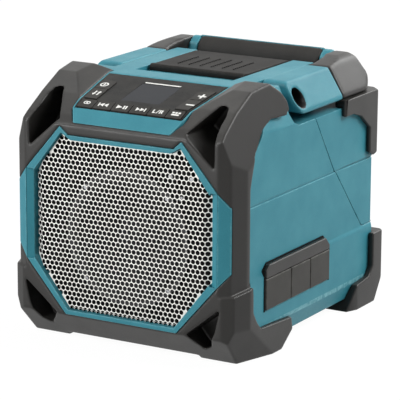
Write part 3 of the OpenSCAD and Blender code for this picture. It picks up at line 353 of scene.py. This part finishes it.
# crisp mouldings: the CAD copy with its outer edges rounded
# the case's broad lower edge gets a wide rounding, marked 2.4 so the worn colour paints a highlight along it
lowerPlan = {"nodes": ("front_housing", "rear_housing"), "z": 22.0, "x": 93.0, "near": 0.1,
             "width": 2.2, "segments": 4, "worn_and_highlight": 2.4}  # the case's broad lower edge
looseNodes = ("control_panel", "key_source")  # kept as triangles, merged faces overlap once rounded
crispAngle, crispShortest = 28, 1.2


def onLowerEdge(edge):
    return all(abs(vert.co.z - lowerPlan["z"] * mm) < lowerPlan["near"] * mm
               and abs(vert.co.x) > lowerPlan["x"] * mm for vert in edge.verts)


def isOuter(edge, width):
    return (edge.is_manifold and edge.is_convex and edge.calc_face_angle(0) > math.radians(crispAngle)
            and edge.calc_length() > crispShortest * width * mm)


def rounded(node, width, segments):
    bm = cleanCopy(node, node not in looseNodes)
    if node in lowerPlan["nodes"]:
        low = [edge for edge in bm.edges if edge.is_manifold and onLowerEdge(edge)]
        roundEdges(bm, low, lowerPlan["width"], lowerPlan["segments"], lowerPlan["worn_and_highlight"])
    roundEdges(bm, [edge for edge in bm.edges if isOuter(edge, width)], width, segments, slide=True)
    slot = slotOf[node]
    item = addPiece(node + "_skin", bmeshToMesh(bm, node), finish[slot], bodyOf[node], (node,))
    item.modifiers.new("weighted", "WEIGHTED_NORMAL").keep_sharp = True


# soft mouldings: the CAD copy remeshed, smoothed and thinned
# painted shade: faces of the arm around the pivot that face in towards it take the black pivot finish,
# standing for the shade inside the bore
def paintBoreShade(mesh, plan):
    mesh.materials.append(finish["pivot_black_and_bore_shade"])
    y0, z0 = spotAt(0, plan["d"], plan["z"])[1:]
    for face in mesh.polygons:
        y, z = face.center.y - y0, face.center.z - z0
        away = math.hypot(y, z)
        inward = (face.normal.y * y + face.normal.z * z) / away
        if away < plan["reach"] * mm and inward < plan["inward"]:
            face.material_index = 1


boreShadePlan = {"d": 107.0, "z": 177.0, "reach": 7.4, "inward": -0.6}


def softened(node, voxel, rounds, most):
    work = bpy.data.objects.new("work", bmeshToMesh(cleanCopy(node), "work"))
    scene.collection.objects.link(work)
    remesh = work.modifiers.new("remesh", "REMESH")
    remesh.mode = "VOXEL"
    remesh.voxel_size = voxel * mm
    smooth = work.modifiers.new("smooth", "SMOOTH")
    smooth.factor = 0.5
    smooth.iterations = rounds
    mesh = evaluated(work)
    faces = 2 * len(mesh.polygons)
    if faces > most:
        thin = work.modifiers.new("thin", "DECIMATE")
        thin.ratio = most / faces
        mesh = evaluated(work)
    bpy.data.objects.remove(work)
    count = len(mesh.vertices)
    spots = np.zeros(count * 3)
    mesh.vertices.foreach_get("co", spots)
    spots = spots.reshape(-1, 3)
    ways = np.zeros(count * 3)
    mesh.vertex_normals.foreach_get("vector", ways)
    ways = ways.reshape(-1, 3)
    pairs = np.zeros(len(mesh.edges) * 2, dtype=int)
    mesh.edges.foreach_get("vertices", pairs)
    pairs = pairs.reshape(-1, 2)
    total = np.zeros((count, 3))
    links = np.zeros(count)
    for a, b in ((0, 1), (1, 0)):
        np.add.at(total, pairs[:, a], spots[pairs[:, b]])
        np.add.at(links, pairs[:, a], 1)
    bulge = ((spots - total / np.maximum(links, 1)[:, None]) * ways).sum(1) / (voxel * mm)
    edge = mesh.attributes.new("edge", "FLOAT", "POINT")
    edge.data.foreach_set("value", np.clip(bulge * 9 - 0.25, 0, 1))
    paint = finish[ownFinish.get(node, slotOf[node])]
    addPiece(node + "_skin", mesh, paint, bodyOf[node], (node,), 75)
    # painted shade inside the handle arms' pivot bores
    if "arm" in node:
        paintBoreShade(mesh, boreShadePlan)


softPlan = {  # voxel in mm, rounds of smoothing, most triangles
    "front_frame": (0.55, 26, 196000),
    "handle_arm_left": (0.9, 26, 90000), "handle_arm_right": (0.9, 26, 90000),
    "handle_corner_left": (1.0, 36, 60000), "handle_corner_right": (1.0, 36, 60000),
    "handle_grip": (1.1, 30, 60000),
}
for node, (voxel, rounds, most) in softPlan.items():
    softened(node, voxel, rounds, most)
print("soft mouldings:", len(softPlan))

crispPlan = {  # width in mm, segments
    "front_housing": (0.6, 2), "rear_housing": (0.6, 2), "battery_cover": (1.0, 3), "cover_latch": (0.7, 3),
    "handle_bar": (1.2, 3),
    "rear_bumper_upper_left": (1.3, 2), "rear_bumper_upper_right": (1.3, 2),
    "rear_bumper_lower_left": (1.3, 2), "rear_bumper_lower_right": (1.3, 2),
    "port_cover": (1.0, 3), "flap_usb": (1.1, 3), "flap_power": (1.1, 3), "flap_audio": (1.1, 3),
    "control_panel": (0.3, 2), "display_window": (0.25, 2),
}
for node in ("power", "source", "pairing", "previous", "play", "next", "stereo", "mode", "minus", "plus"):
    crispPlan["key_" + node] = (0.4, 3)
for node, (width, segments) in crispPlan.items():
    rounded(node, width, segments)
print("crisp mouldings:", len(crispPlan))


# one node tree lays a lattice of pins, which stand as studs or cut holes
def buildLattice(name, cutting):
    tree = bpy.data.node_groups.new(name, "GeometryNodeTree")
    face = tree.interface
    face.new_socket("Geometry", in_out="INPUT", socket_type="NodeSocketGeometry")
    for label, kind in (("Columns", "Int"), ("Rows", "Int"), ("Pitch", "Float"), ("Row Pitch", "Float"),
                        ("Shift", "Float"), ("Radius", "Float"), ("Depth", "Float"), ("Sides", "Int"),
                        ("Field", "Object"), ("Turn", "Vector"), ("Move", "Vector"),
                        ("Material", "Material")):
        face.new_socket(label, in_out="INPUT", socket_type="NodeSocket" + kind)
    face.new_socket("Geometry", in_out="OUTPUT", socket_type="NodeSocketGeometry")
    link = tree.links.new

    def node(kind, **values):
        made = tree.nodes.new(kind)
        for key, value in values.items():
            setattr(made, key, value)
        return made

    def sums(operation, a, b):
        made = node("ShaderNodeMath", operation=operation)
        for socket, value in zip(made.inputs, (a, b)):
            if isinstance(value, (int, float)):
                socket.default_value = value
            else:
                link(value, socket)
        return made.outputs[0]

    given = node("NodeGroupInput").outputs
    end = node("NodeGroupOutput")
    grid = node("GeometryNodeMeshGrid")
    link(given["Columns"], grid.inputs["Vertices X"])
    link(given["Rows"], grid.inputs["Vertices Y"])
    link(sums("MULTIPLY", sums("SUBTRACT", given["Columns"], 1), given["Pitch"]), grid.inputs["Size X"])
    link(sums("MULTIPLY", sums("SUBTRACT", given["Rows"], 1), given["Row Pitch"]), grid.inputs["Size Y"])
    axes = node("ShaderNodeSeparateXYZ")
    link(node("GeometryNodeInputPosition").outputs[0], axes.inputs[0])
    row = sums("ROUND", sums("DIVIDE", axes.outputs[1], given["Row Pitch"]), 0)
    oddRow = sums("FLOORED_MODULO", row, 2)
    offset = node("ShaderNodeCombineXYZ")
    link(sums("MULTIPLY", sums("MULTIPLY", oddRow, given["Shift"]), given["Pitch"]), offset.inputs[0])
    shifted = node("GeometryNodeSetPosition")
    link(grid.outputs["Mesh"], shifted.inputs["Geometry"])
    link(offset.outputs[0], shifted.inputs["Offset"])
    field = node("GeometryNodeObjectInfo")
    link(given["Field"], field.inputs["Object"])
    ray = node("GeometryNodeRaycast")
    above = node("ShaderNodeVectorMath", operation="ADD")
    link(node("GeometryNodeInputPosition").outputs[0], above.inputs[0])
    above.inputs[1].default_value = (0, 0, 0.01)
    link(field.outputs["Geometry"], ray.inputs["Target Geometry"])
    link(above.outputs[0], ray.inputs["Source Position"])
    ray.inputs["Ray Direction"].default_value = (0, 0, -1)
    ray.inputs["Ray Length"].default_value = 0.02
    missed = node("FunctionNodeBooleanMath", operation="NOT")
    link(ray.outputs["Is Hit"], missed.inputs[0])
    inside = node("GeometryNodeDeleteGeometry", domain="POINT")
    link(shifted.outputs[0], inside.inputs["Geometry"])
    link(missed.outputs[0], inside.inputs["Selection"])
    pin = node("GeometryNodeMeshCylinder")
    link(given["Sides"], pin.inputs["Vertices"])
    link(given["Radius"], pin.inputs["Radius"])
    link(given["Depth"], pin.inputs["Depth"])
    spread = node("GeometryNodeInstanceOnPoints")
    link(inside.outputs[0], spread.inputs["Points"])
    link(pin.outputs["Mesh"], spread.inputs["Instance"])
    pins = node("GeometryNodeRealizeInstances")
    link(spread.outputs[0], pins.inputs[0])
    euler = node("FunctionNodeEulerToRotation")
    link(given["Turn"], euler.inputs[0])
    placed = node("GeometryNodeTransform")
    link(pins.outputs[0], placed.inputs["Geometry"])
    link(given["Move"], placed.inputs["Translation"])
    link(euler.outputs[0], placed.inputs["Rotation"])
    shape = placed
    if cutting:
        shape = node("GeometryNodeMeshBoolean", operation="DIFFERENCE", solver="EXACT")
        link(given["Geometry"], shape.inputs["Mesh 1"])
        link(placed.outputs[0], shape.inputs["Mesh 2"])
    whole = node("GeometryNodeRealizeInstances")
    link(shape.outputs[0], whole.inputs[0])
    paint = node("GeometryNodeSetMaterial")
    link(whole.outputs[0], paint.inputs["Geometry"])
    link(given["Material"], paint.inputs["Material"])
    link(paint.outputs[0], end.inputs[0])
    return tree


perforate = buildLattice("perforate", True)
studded = buildLattice("studded", False)


def setInputs(modifier, values):
    for item in modifier.node_group.interface.items_tree:
        if item.item_type == "SOCKET" and item.in_out == "INPUT" and item.name in values:
            modifier[item.identifier] = values[item.name]


def useLattice(tree, item, outline, **values):
    bm = bmesh.new()
    bm.faces.new([bm.verts.new((x * mm, y * mm, 0)) for x, y in outline])
    field = bpy.data.objects.new("holeField", bmeshToMesh(bm, "holeField"))
    scene.collection.objects.link(field)
    modifier = item.modifiers.new("lattice", "NODES")
    modifier.node_group = tree
    labels = {"rowPitch": "Row Pitch"}
    setInputs(modifier, {labels.get(key, key.capitalize()): value for key, value in values.items()})
    setInputs(modifier, {"Field": field})
    mesh = evaluated(item)
    item.modifiers.remove(modifier)
    bpy.data.objects.remove(field)
    return mesh


# grille: pressed tray with its rim bent back and a staggered lattice of holes
grillePlan = {
    "pitch": 3.8, "rowPitch": 3.53, "shift": 0.5, "radius": 1.76, "sides": 12, "depth": 5.0,
    "columns": 61, "rows": 61, "start": (2.4, 95.0), "pinDepth": 3.6,
    "face": 3.0, "cadThick": 1.2, "thick": 0.45, "near": 0.1, "sharp": 0.5,
    "bend": 0.8, "bendSegments": 4, "bendWear": 0.6, "fold": 68.0, "slope": 29.0,
    "inner": 74.0, "outward": -0.3,
    "field": [(44.4, 24.2), (74.0, 61.2), (74.0, 122.9), (49.7, 153.8), (42.3, 149.6)],
}


def foldSides(mesh, plan):
    # the left and right borders slope back, holes included
    bm = bmesh.new()
    bm.from_mesh(mesh)
    fold = plan["fold"] * mm
    for side in (-1, 1):
        bmesh.ops.bisect_plane(bm, geom=bm.verts[:] + bm.edges[:] + bm.faces[:], dist=1e-6,
                               plane_co=(side * fold, 0, 0), plane_no=(side, 0, 0))
    lean = math.tan(math.radians(plan["slope"]))
    for vert in bm.verts:
        vert.co.y += max(0.0, abs(vert.co.x) - fold) * lean
    bm.to_mesh(mesh)
    bm.free()


def makeGrille(plan):
    front = spotAt(0, plan["face"] + plan["near"], 0)[1]
    back = spotAt(0, plan["face"] + plan["cadThick"], 0)[1]
    bm = cleanCopy("grille")
    rim = [edge for edge in bm.edges if edge.is_manifold and edge.is_convex
           and max(vert.co.y for vert in edge.verts) < front and edge.calc_face_angle(0) > plan["sharp"]]
    roundEdges(bm, rim, plan["bend"], plan["bendSegments"], plan["bendWear"])
    for vert in bm.verts:
        if abs(vert.co.y - back) < plan["near"] * mm / 2:
            vert.co.y += (plan["thick"] - plan["cadThick"]) * mm
    work = bpy.data.objects.new("tray", bmeshToMesh(bm, "tray"))
    scene.collection.objects.link(work)
    x0, z0 = plan["start"]
    outline = plan["field"] + [(-x, z) for x, z in reversed(plan["field"])]
    mesh = useLattice(perforate, work, [(x - x0, z - z0) for x, z in outline],
                      columns=plan["columns"], rows=plan["rows"], pitch=plan["pitch"] * mm,
                      rowPitch=plan["rowPitch"] * mm, shift=plan["shift"], radius=plan["radius"] * mm,
                      depth=plan["depth"] * mm, sides=plan["sides"], turn=(math.pi / 2, 0, 0),
                      move=spotAt(x0, plan["pinDepth"], z0), material=finish["grille_metal"])
    bpy.data.objects.remove(work)
    foldSides(mesh, plan)
    addPiece("grille_sheet", mesh, finish["grille_metal"], "case", ("grille",), 40)
    # painted shade: inner faces that don't face forward take the near-black finish
    mesh.materials.append(finish["grille_painted_shade"])
    for face in mesh.polygons:
        if face.normal.y > plan["outward"] and abs(face.center.x) < plan["inner"] * mm:
            face.material_index = 1
    print("grille triangles:", sum(len(face.vertices) - 2 for face in mesh.polygons))


makeGrille(grillePlan)

# deck pad: rounded edges and six rows of low studs
padPlan = {
    "edge": 0.7, "edgeSegments": 3, "sharp": 0.35, "columns": 6, "rows": 11, "pitch": 9.6, "rowPitch": 2.95,
    "radius": 0.62, "depth": 1.1, "sides": 12, "middle": (0.0, 137.2, 189.1), "field": 60,
}


def makePad(plan):
    bm = cleanCopy("deck_pad")
    edges = [edge for edge in bm.edges if edge.is_convex and edge.calc_face_angle(0) > plan["sharp"]]
    roundEdges(bm, edges, plan["edge"], plan["edgeSegments"])
    mesh = bmeshToMesh(bm, "pad")
    addPiece("deck_pad_skin", mesh, finish["pad_rubber"], "case", ("deck_pad",))
    work = bpy.data.objects.new("studs", bpy.data.meshes.new("studs"))
    scene.collection.objects.link(work)
    half = plan["field"]
    mesh = useLattice(studded, work, [(-half, -half), (half, -half), (half, half), (-half, half)],
                      columns=plan["columns"], rows=plan["rows"], pitch=plan["pitch"] * mm,
                      rowPitch=plan["rowPitch"] * mm, shift=0.0, radius=plan["radius"] * mm,
                      depth=plan["depth"] * mm, sides=plan["sides"], turn=(0, 0, 0),
                      move=spotAt(*plan["middle"]), material=finish["stud_rubber_and_painted_shadow"])
    bpy.data.objects.remove(work)
    addPiece("deck_pad_studs", mesh, finish["stud_rubber_and_painted_shadow"], "case")


makePad(padPlan)
print("pad done")


# screws: one node tree sets a cross-recessed screw on each point
def buildScrews():
    tree = bpy.data.node_groups.new("crossScrews", "GeometryNodeTree")
    face = tree.interface
    face.new_socket("Geometry", in_out="INPUT", socket_type="NodeSocketGeometry")
    for label, kind in (("Head Radius", "Float"), ("Head Height", "Float"), ("Shank Radius", "Float"),
                        ("Shank Length", "Float"), ("Recess", "Vector"), ("Turn", "Vector"),
                        ("Material", "Material")):
        face.new_socket(label, in_out="INPUT", socket_type="NodeSocket" + kind)
    face.new_socket("Geometry", in_out="OUTPUT", socket_type="NodeSocketGeometry")
    link = tree.links.new
    new = tree.nodes.new
    given = new("NodeGroupInput").outputs
    head = new("GeometryNodeMeshCone")
    head.inputs["Vertices"].default_value = 24
    link(given["Head Radius"], head.inputs["Radius Bottom"])
    slim = new("ShaderNodeMath")
    slim.operation = "MULTIPLY"
    slim.inputs[1].default_value = 0.78
    link(given["Head Radius"], slim.inputs[0])
    link(slim.outputs[0], head.inputs["Radius Top"])
    link(given["Head Height"], head.inputs["Depth"])
    across = new("GeometryNodeMeshCube")
    link(given["Recess"], across.inputs["Size"])
    crossed = new("GeometryNodeTransform")
    crossed.inputs["Rotation"].default_value = (0, 0, math.pi / 2)
    link(across.outputs["Mesh"], crossed.inputs["Geometry"])
    cross = new("GeometryNodeJoinGeometry")
    link(across.outputs["Mesh"], cross.inputs[0])
    link(crossed.outputs[0], cross.inputs[0])
    lifted = new("GeometryNodeTransform")
    lift = new("ShaderNodeCombineXYZ")
    link(given["Head Height"], lift.inputs[2])
    link(lift.outputs[0], lifted.inputs["Translation"])
    link(cross.outputs[0], lifted.inputs["Geometry"])
    sunk = new("GeometryNodeMeshBoolean")
    sunk.operation = "DIFFERENCE"
    sunk.solver = "EXACT"
    link(head.outputs["Mesh"], sunk.inputs["Mesh 1"])
    link(lifted.outputs[0], sunk.inputs["Mesh 2"])
    shank = new("GeometryNodeMeshCylinder")
    shank.inputs["Vertices"].default_value = 16
    link(given["Shank Radius"], shank.inputs["Radius"])
    link(given["Shank Length"], shank.inputs["Depth"])
    lowered = new("GeometryNodeTransform")
    drop = new("ShaderNodeMath")
    drop.operation = "MULTIPLY"
    drop.inputs[1].default_value = -0.5
    link(given["Shank Length"], drop.inputs[0])
    down = new("ShaderNodeCombineXYZ")
    link(drop.outputs[0], down.inputs[2])
    link(down.outputs[0], lowered.inputs["Translation"])
    link(shank.outputs["Mesh"], lowered.inputs["Geometry"])
    whole = new("GeometryNodeJoinGeometry")
    link(sunk.outputs[0], whole.inputs[0])
    link(lowered.outputs[0], whole.inputs[0])
    euler = new("FunctionNodeEulerToRotation")
    link(given["Turn"], euler.inputs[0])
    spread = new("GeometryNodeInstanceOnPoints")
    link(given["Geometry"], spread.inputs["Points"])
    link(whole.outputs[0], spread.inputs["Instance"])
    link(euler.outputs[0], spread.inputs["Rotation"])
    real = new("GeometryNodeRealizeInstances")
    link(spread.outputs[0], real.inputs[0])
    paint = new("GeometryNodeSetMaterial")
    link(real.outputs[0], paint.inputs["Geometry"])
    link(given["Material"], paint.inputs["Material"])
    end = new("NodeGroupOutput")
    link(paint.outputs[0], end.inputs[0])
    return tree


crossScrews = buildScrews()
screwPlan = {"head": 3.9, "height": 2.4, "shank": 1.55, "length": 12.0, "recess": (4.2, 1.0, 2.6),
             "spots": [(67, 42, 174.7), (-67, 42, 174.7), (72, 22, 24), (-72, 22, 24)]}


def makeScrews(plan):
    bm = bmesh.new()
    for x, d, z in plan["spots"]:
        bm.verts.new(spotAt(x, d, z))
    work = bpy.data.objects.new("screwSpots", bmeshToMesh(bm, "screwSpots"))
    scene.collection.objects.link(work)
    modifier = work.modifiers.new("screws", "NODES")
    modifier.node_group = crossScrews
    setInputs(modifier, {"Head Radius": plan["head"] * mm, "Head Height": plan["height"] * mm,
                         "Shank Radius": plan["shank"] * mm, "Shank Length": plan["length"] * mm,
                         "Recess": tuple(size * mm for size in plan["recess"]), "Turn": (math.pi / 2, 0, 0),
                         "Material": finish["screw_steel"]})
    mesh = evaluated(work)
    bpy.data.objects.remove(work)
    addPiece("frame_screw_heads", mesh, finish["screw_steel"], "case", ("frame_screws",))


makeScrews(screwPlan)
print("screws done")

# key symbols, printed on the key tops
facetPlan = {
    "row": {"d": 10.975, "z": 172.975, "tilt": 26.0},
    "panel": {"d": 20.502, "z": 177.622, "tilt": 12.58},
}
printPlan = {"proud": 0.8, "thick": 0.12, "sunk": 0.1, "lowStep": 0.02, "highStep": 0.004}


def facetPoint(facet, u, w, h):
    plan = facetPlan[facet]
    tilt = math.radians(plan["tilt"])
    d = plan["d"] + w * math.cos(tilt) - h * math.sin(tilt)
    z = plan["z"] + w * math.sin(tilt) + h * math.cos(tilt)
    return spotAt(u, d, z)


def bar(x, y, w, h):
    return [(x - w / 2, y - h / 2), (x + w / 2, y - h / 2), (x + w / 2, y + h / 2), (x - w / 2, y + h / 2)]


def arrow(x, y, w, h):
    return [(x - w / 2, y - h / 2), (x + w / 2, y), (x - w / 2, y + h / 2)]


def ring(x, y, r, stroke, count=28):
    turns = [2 * math.pi * i / count for i in range(count)]
    return [[(x + q * math.cos(t), y + q * math.sin(t)) for t in turns] for q in (r, r - stroke)]


def line(x0, y0, x1, y1, stroke):
    along = Vector((x1 - x0, y1 - y0)).normalized()
    side = Vector((-along.y, along.x)) * stroke / 2
    return [(x0 - side.x, y0 - side.y), (x1 - side.x, y1 - side.y), (x1 + side.x, y1 + side.y),
            (x0 + side.x, y0 + side.y)]


def prism(bm, place, outer, inner, low, high):
    # closed prism of an outline, or of a ring where an inner outline is given
    if sum(a[0] * b[1] - b[0] * a[1] for a, b in zip(outer, outer[1:] + outer[:1])) < 0:
        outer = outer[::-1]
    count = len(outer)
    loops = [[bm.verts.new(place(x, y, h)) for x, y in outline] for outline in (outer, inner) if outline
             for h in (low, high)]
    for i in range(count):
        j = (i + 1) % count
        bm.faces.new((loops[0][i], loops[0][j], loops[1][j], loops[1][i]))
        if inner:
            bm.faces.new((loops[2][j], loops[2][i], loops[3][i], loops[3][j]))
            bm.faces.new((loops[1][i], loops[1][j], loops[3][j], loops[3][i]))
            bm.faces.new((loops[0][j], loops[0][i], loops[2][i], loops[2][j]))
    if not inner:
        bm.faces.new(loops[1])
        bm.faces.new(loops[0][::-1])


symbolPlan = {  # facet, place along and up it, outlines
    "power": ("panel", -41.1, 25.8, [ring(0, 0, 3.4, 1.1), bar(0, 0, 1.0, 3.6)]),
    "source": ("panel", -38.3, 10.5, [bar(-1.7, 0.9, 1.2, 5.0), [(-3.3, -1.0), (-0.1, -1.0), (-1.7, -3.6)],
                                      [(0.1, 1.0), (3.3, 1.0), (1.7, 3.6)], bar(1.7, -0.9, 1.2, 5.0)]),
    "plus": ("panel", 41.7, 25.6, [bar(0, 0, 6.4, 1.5), bar(0, 0, 1.6, 7.0)]),
    "minus": ("panel", 40.9, 9.6, [bar(0, 0, 6.6, 1.7)]),
    "pairing": ("row", -37.2, 5.9, [ring(-1.1, 0, 1.7, 0.8, 20), ring(1.1, 0, 1.7, 0.8, 20)]),
    "previous": ("row", -22.5, 5.6, [bar(-4.2, 0, 0.9, 3.8), arrow(-2.0, 0, -3.4, 3.8),
                                     arrow(1.6, 0, -3.4, 3.8)]),
    "play": ("row", -7.4, 5.5, [arrow(-1.9, 0, 4.6, 4.0), bar(1.7, 0, 1.1, 3.8), bar(3.6, 0, 1.1, 3.8)]),
    "next": ("row", 7.8, 5.5, [arrow(-1.6, 0, 3.4, 3.8), arrow(2.0, 0, 3.4, 3.8), bar(4.2, 0, 0.9, 3.8)]),
    "stereo": ("row", 22.9, 5.5, [line(-3.9, -1.9, -3.9, 1.9, 0.9), line(-4.0, -1.5, -1.9, -1.5, 0.9),
                                  line(-1.1, -2.1, 0.5, 2.1, 0.7), line(1.6, -1.9, 1.6, 1.9, 0.9),
                                  line(1.6, 1.5, 3.6, 1.5, 0.8), line(3.4, 1.8, 3.4, -0.1, 0.9),
                                  line(1.6, 0.0, 3.7, 0.0, 0.8), line(2.5, 0.0, 3.9, -1.9, 0.9)]),
    "mode": ("row", 38.0, 5.6, [bar(-2.9, 1.1, 1.9, 1.6), bar(-0.4, 1.1, 1.9, 1.6), bar(2.1, 1.1, 1.9, 1.6),
                                bar(-0.6, -1.2, 6.2, 1.6)]),
}


def makeSymbols():
    low, high = printPlan["proud"] - printPlan["sunk"], printPlan["proud"] + printPlan["thick"]
    for key, (facet, u, w, shapes) in symbolPlan.items():
        bm = bmesh.new()

        def onKey(x, y, h):
            return facetPoint(facet, u + x, w + y, h)

        for step, shape in enumerate(shapes):
            outer, inner = (shape[0], shape[1]) if isinstance(shape[0], list) else (shape, None)
            prism(bm, onKey, outer, inner, low - printPlan["lowStep"] * step,
                  high - printPlan["highStep"] * step)
        addPiece("symbol_" + key, bmeshToMesh(bm, "symbol_" + key), finish["print_and_painted_highlight"], "key_" + key)


makeSymbols()

# painted highlight: a pale strip along the upper edge of the display's lens, standing for light reflected
# there
lensHighlightPlan = {"left": -13.4, "right": 16.2, "low": 38.0, "high": 39.4, "flare": 0.5, "bottom": -0.2, "top": 0.28,
            "edge": 0.15, "shortest": 2.0}


def makeLensHighlight(plan):
    bm = bmesh.new()
    left, right, flare = plan["left"], plan["right"], plan["flare"]
    outline = [(left, plan["low"]), (right, plan["low"]), (right + flare, plan["high"]),
               (left - flare, plan["high"])]

    def onPanel(x, y, h):
        return facetPoint("panel", x, y, h)

    prism(bm, onPanel, outline, None, plan["bottom"], plan["top"])
    top = [edge for edge in bm.edges if edge.calc_length() > plan["shortest"] * mm and edge.is_convex]
    bmesh.ops.bevel(bm, geom=top, offset=plan["edge"] * mm, offset_type="OFFSET", segments=2, profile=0.5,
                    affect="EDGES")
    addPiece("display_edge", bmeshToMesh(bm, "display_edge"), finish["print_and_painted_highlight"], "case")


makeLensHighlight(lensHighlightPlan)
print("symbols:", len(symbolPlan))

# painted shadow: a dark strip along the port cover's front, upper and rear edges, standing for the shadow gap
# there
shadowStripPlan = {
    "inner": [(45.95, 31.2), (45.95, 57.0), (45.95, 61.0), (45.95, 61.55), (50.98, 65.55), (139.02, 65.55),
              (143.56, 61.0), (145.05, 59.5), (145.05, 57.0), (145.05, 31.2)],
    "outer": [(44.7, 31.2), (44.7, 57.0), (44.7, 61.0), (44.7, 62.1), (50.5, 66.8), (139.5, 66.8),
              (145.39, 61.0), (146.3, 60.1), (146.3, 57.0), (146.3, 31.2)],
    "wall": [(57.0, 94.0), (61.0, 92.0)], "proud": 0.5, "deep": 0.8,
}


def makeShadowStrip(plan):
    bm = bmesh.new()
    (z0, x0), (z1, x1) = plan["wall"]

    def corner(spot, lift):
        d, z = spot
        wall = x0 + (x1 - x0) * min(1.0, max(0.0, (z - z0) / (z1 - z0)))
        return bm.verts.new(spotAt(wall + lift, d, z))

    loops = [[corner(inner, plan["proud"]), corner(outer, plan["proud"]), corner(outer, -plan["deep"]),
              corner(inner, -plan["deep"])] for inner, outer in zip(plan["inner"], plan["outer"])]
    for here, after in zip(loops, loops[1:]):
        for i in range(4):
            j = (i + 1) % 4
            bm.faces.new((here[i], here[j], after[j], after[i]))
    bm.faces.new(loops[0])
    bm.faces.new(loops[-1][::-1])
    bmesh.ops.recalc_face_normals(bm, faces=bm.faces)
    addPiece("port_seal", bmeshToMesh(bm, "port_seal"), finish["stud_rubber_and_painted_shadow"], "case")


makeShadowStrip(shadowStripPlan)

# studio
studioPlan = {
    "floor": 4.0, "floorColour": (0.45, 0.45, 0.446, 1), "glow": 0.86, "shine": 1.12, "ambient": 0.07,
    "aim": (0, 0, 0.1),
    "lights": [("keyLight", (-0.9, -1.7, 2.1), 0.9, 39), ("sideLight", (1.65, 0.85, 1.7), 1.3, 52),
               ("frontLight", (-1.1, -1.9, 0.32), 0.6, 20),
               ("topLight", (-0.95, 0.5, 1.9), 0.8, 3), ("backLight", (0.5, 1.8, 1.2), 1.2, 19)],
}


def seenRay(tree):
    path = tree.nodes.new("ShaderNodeLightPath").outputs
    clear = mathNode(tree, "MAXIMUM", path["Is Camera Ray"], path["Is Transmission Ray"])
    return mathNode(tree, "MAXIMUM", clear, path["Is Glossy Ray"])


def makeStudio(plan):
    bm = bmesh.new()
    bmesh.ops.create_circle(bm, cap_ends=True, segments=64, radius=plan["floor"])
    floor = bpy.data.objects.new("studioFloor", bmeshToMesh(bm, "studioFloor"))
    scene.collection.objects.link(floor)
    material = bpy.data.materials.new("studioFloor")
    material.use_nodes = True
    tree = material.node_tree
    tree.nodes.clear()
    matte = tree.nodes.new("ShaderNodeBsdfDiffuse")
    matte.inputs["Color"].default_value = plan["floorColour"]
    glow = tree.nodes.new("ShaderNodeEmission")
    glow.inputs["Strength"].default_value = plan["shine"]
    mix = tree.nodes.new("ShaderNodeMixShader")
    tree.links.new(mathNode(tree, "MULTIPLY", seenRay(tree), plan["glow"]), mix.inputs[0])
    tree.links.new(matte.outputs[0], mix.inputs[1])
    tree.links.new(glow.outputs[0], mix.inputs[2])
    tree.links.new(mix.outputs[0], tree.nodes.new("ShaderNodeOutputMaterial").inputs[0])
    floor.data.materials.append(material)
    world = bpy.data.worlds.new("studioSky")
    scene.world = world
    world.use_nodes = True
    tree = world.node_tree
    tree.nodes.clear()
    dim, white = tree.nodes.new("ShaderNodeBackground"), tree.nodes.new("ShaderNodeBackground")
    for sky, strength in ((dim, plan["ambient"]), (white, 1.0)):
        sky.inputs["Color"].default_value = (1, 1, 1, 1)
        sky.inputs["Strength"].default_value = strength
    mix = tree.nodes.new("ShaderNodeMixShader")
    tree.links.new(seenRay(tree), mix.inputs[0])
    tree.links.new(dim.outputs[0], mix.inputs[1])
    tree.links.new(white.outputs[0], mix.inputs[2])
    tree.links.new(mix.outputs[0], tree.nodes.new("ShaderNodeOutputWorld").inputs[0])
    aim = Vector(plan["aim"])
    for name, spot, size, power in plan["lights"]:
        data = bpy.data.lights.new(name, "AREA")
        data.size = size
        data.energy = power
        lamp = bpy.data.objects.new(name, data)
        scene.collection.objects.link(lamp)
        lamp.location = spot
        lamp.rotation_euler = (aim - Vector(spot)).to_track_quat("-Z", "Y").to_euler()
    scene.view_settings.view_transform = "Standard"


makeStudio(studioPlan)
print("studio done")
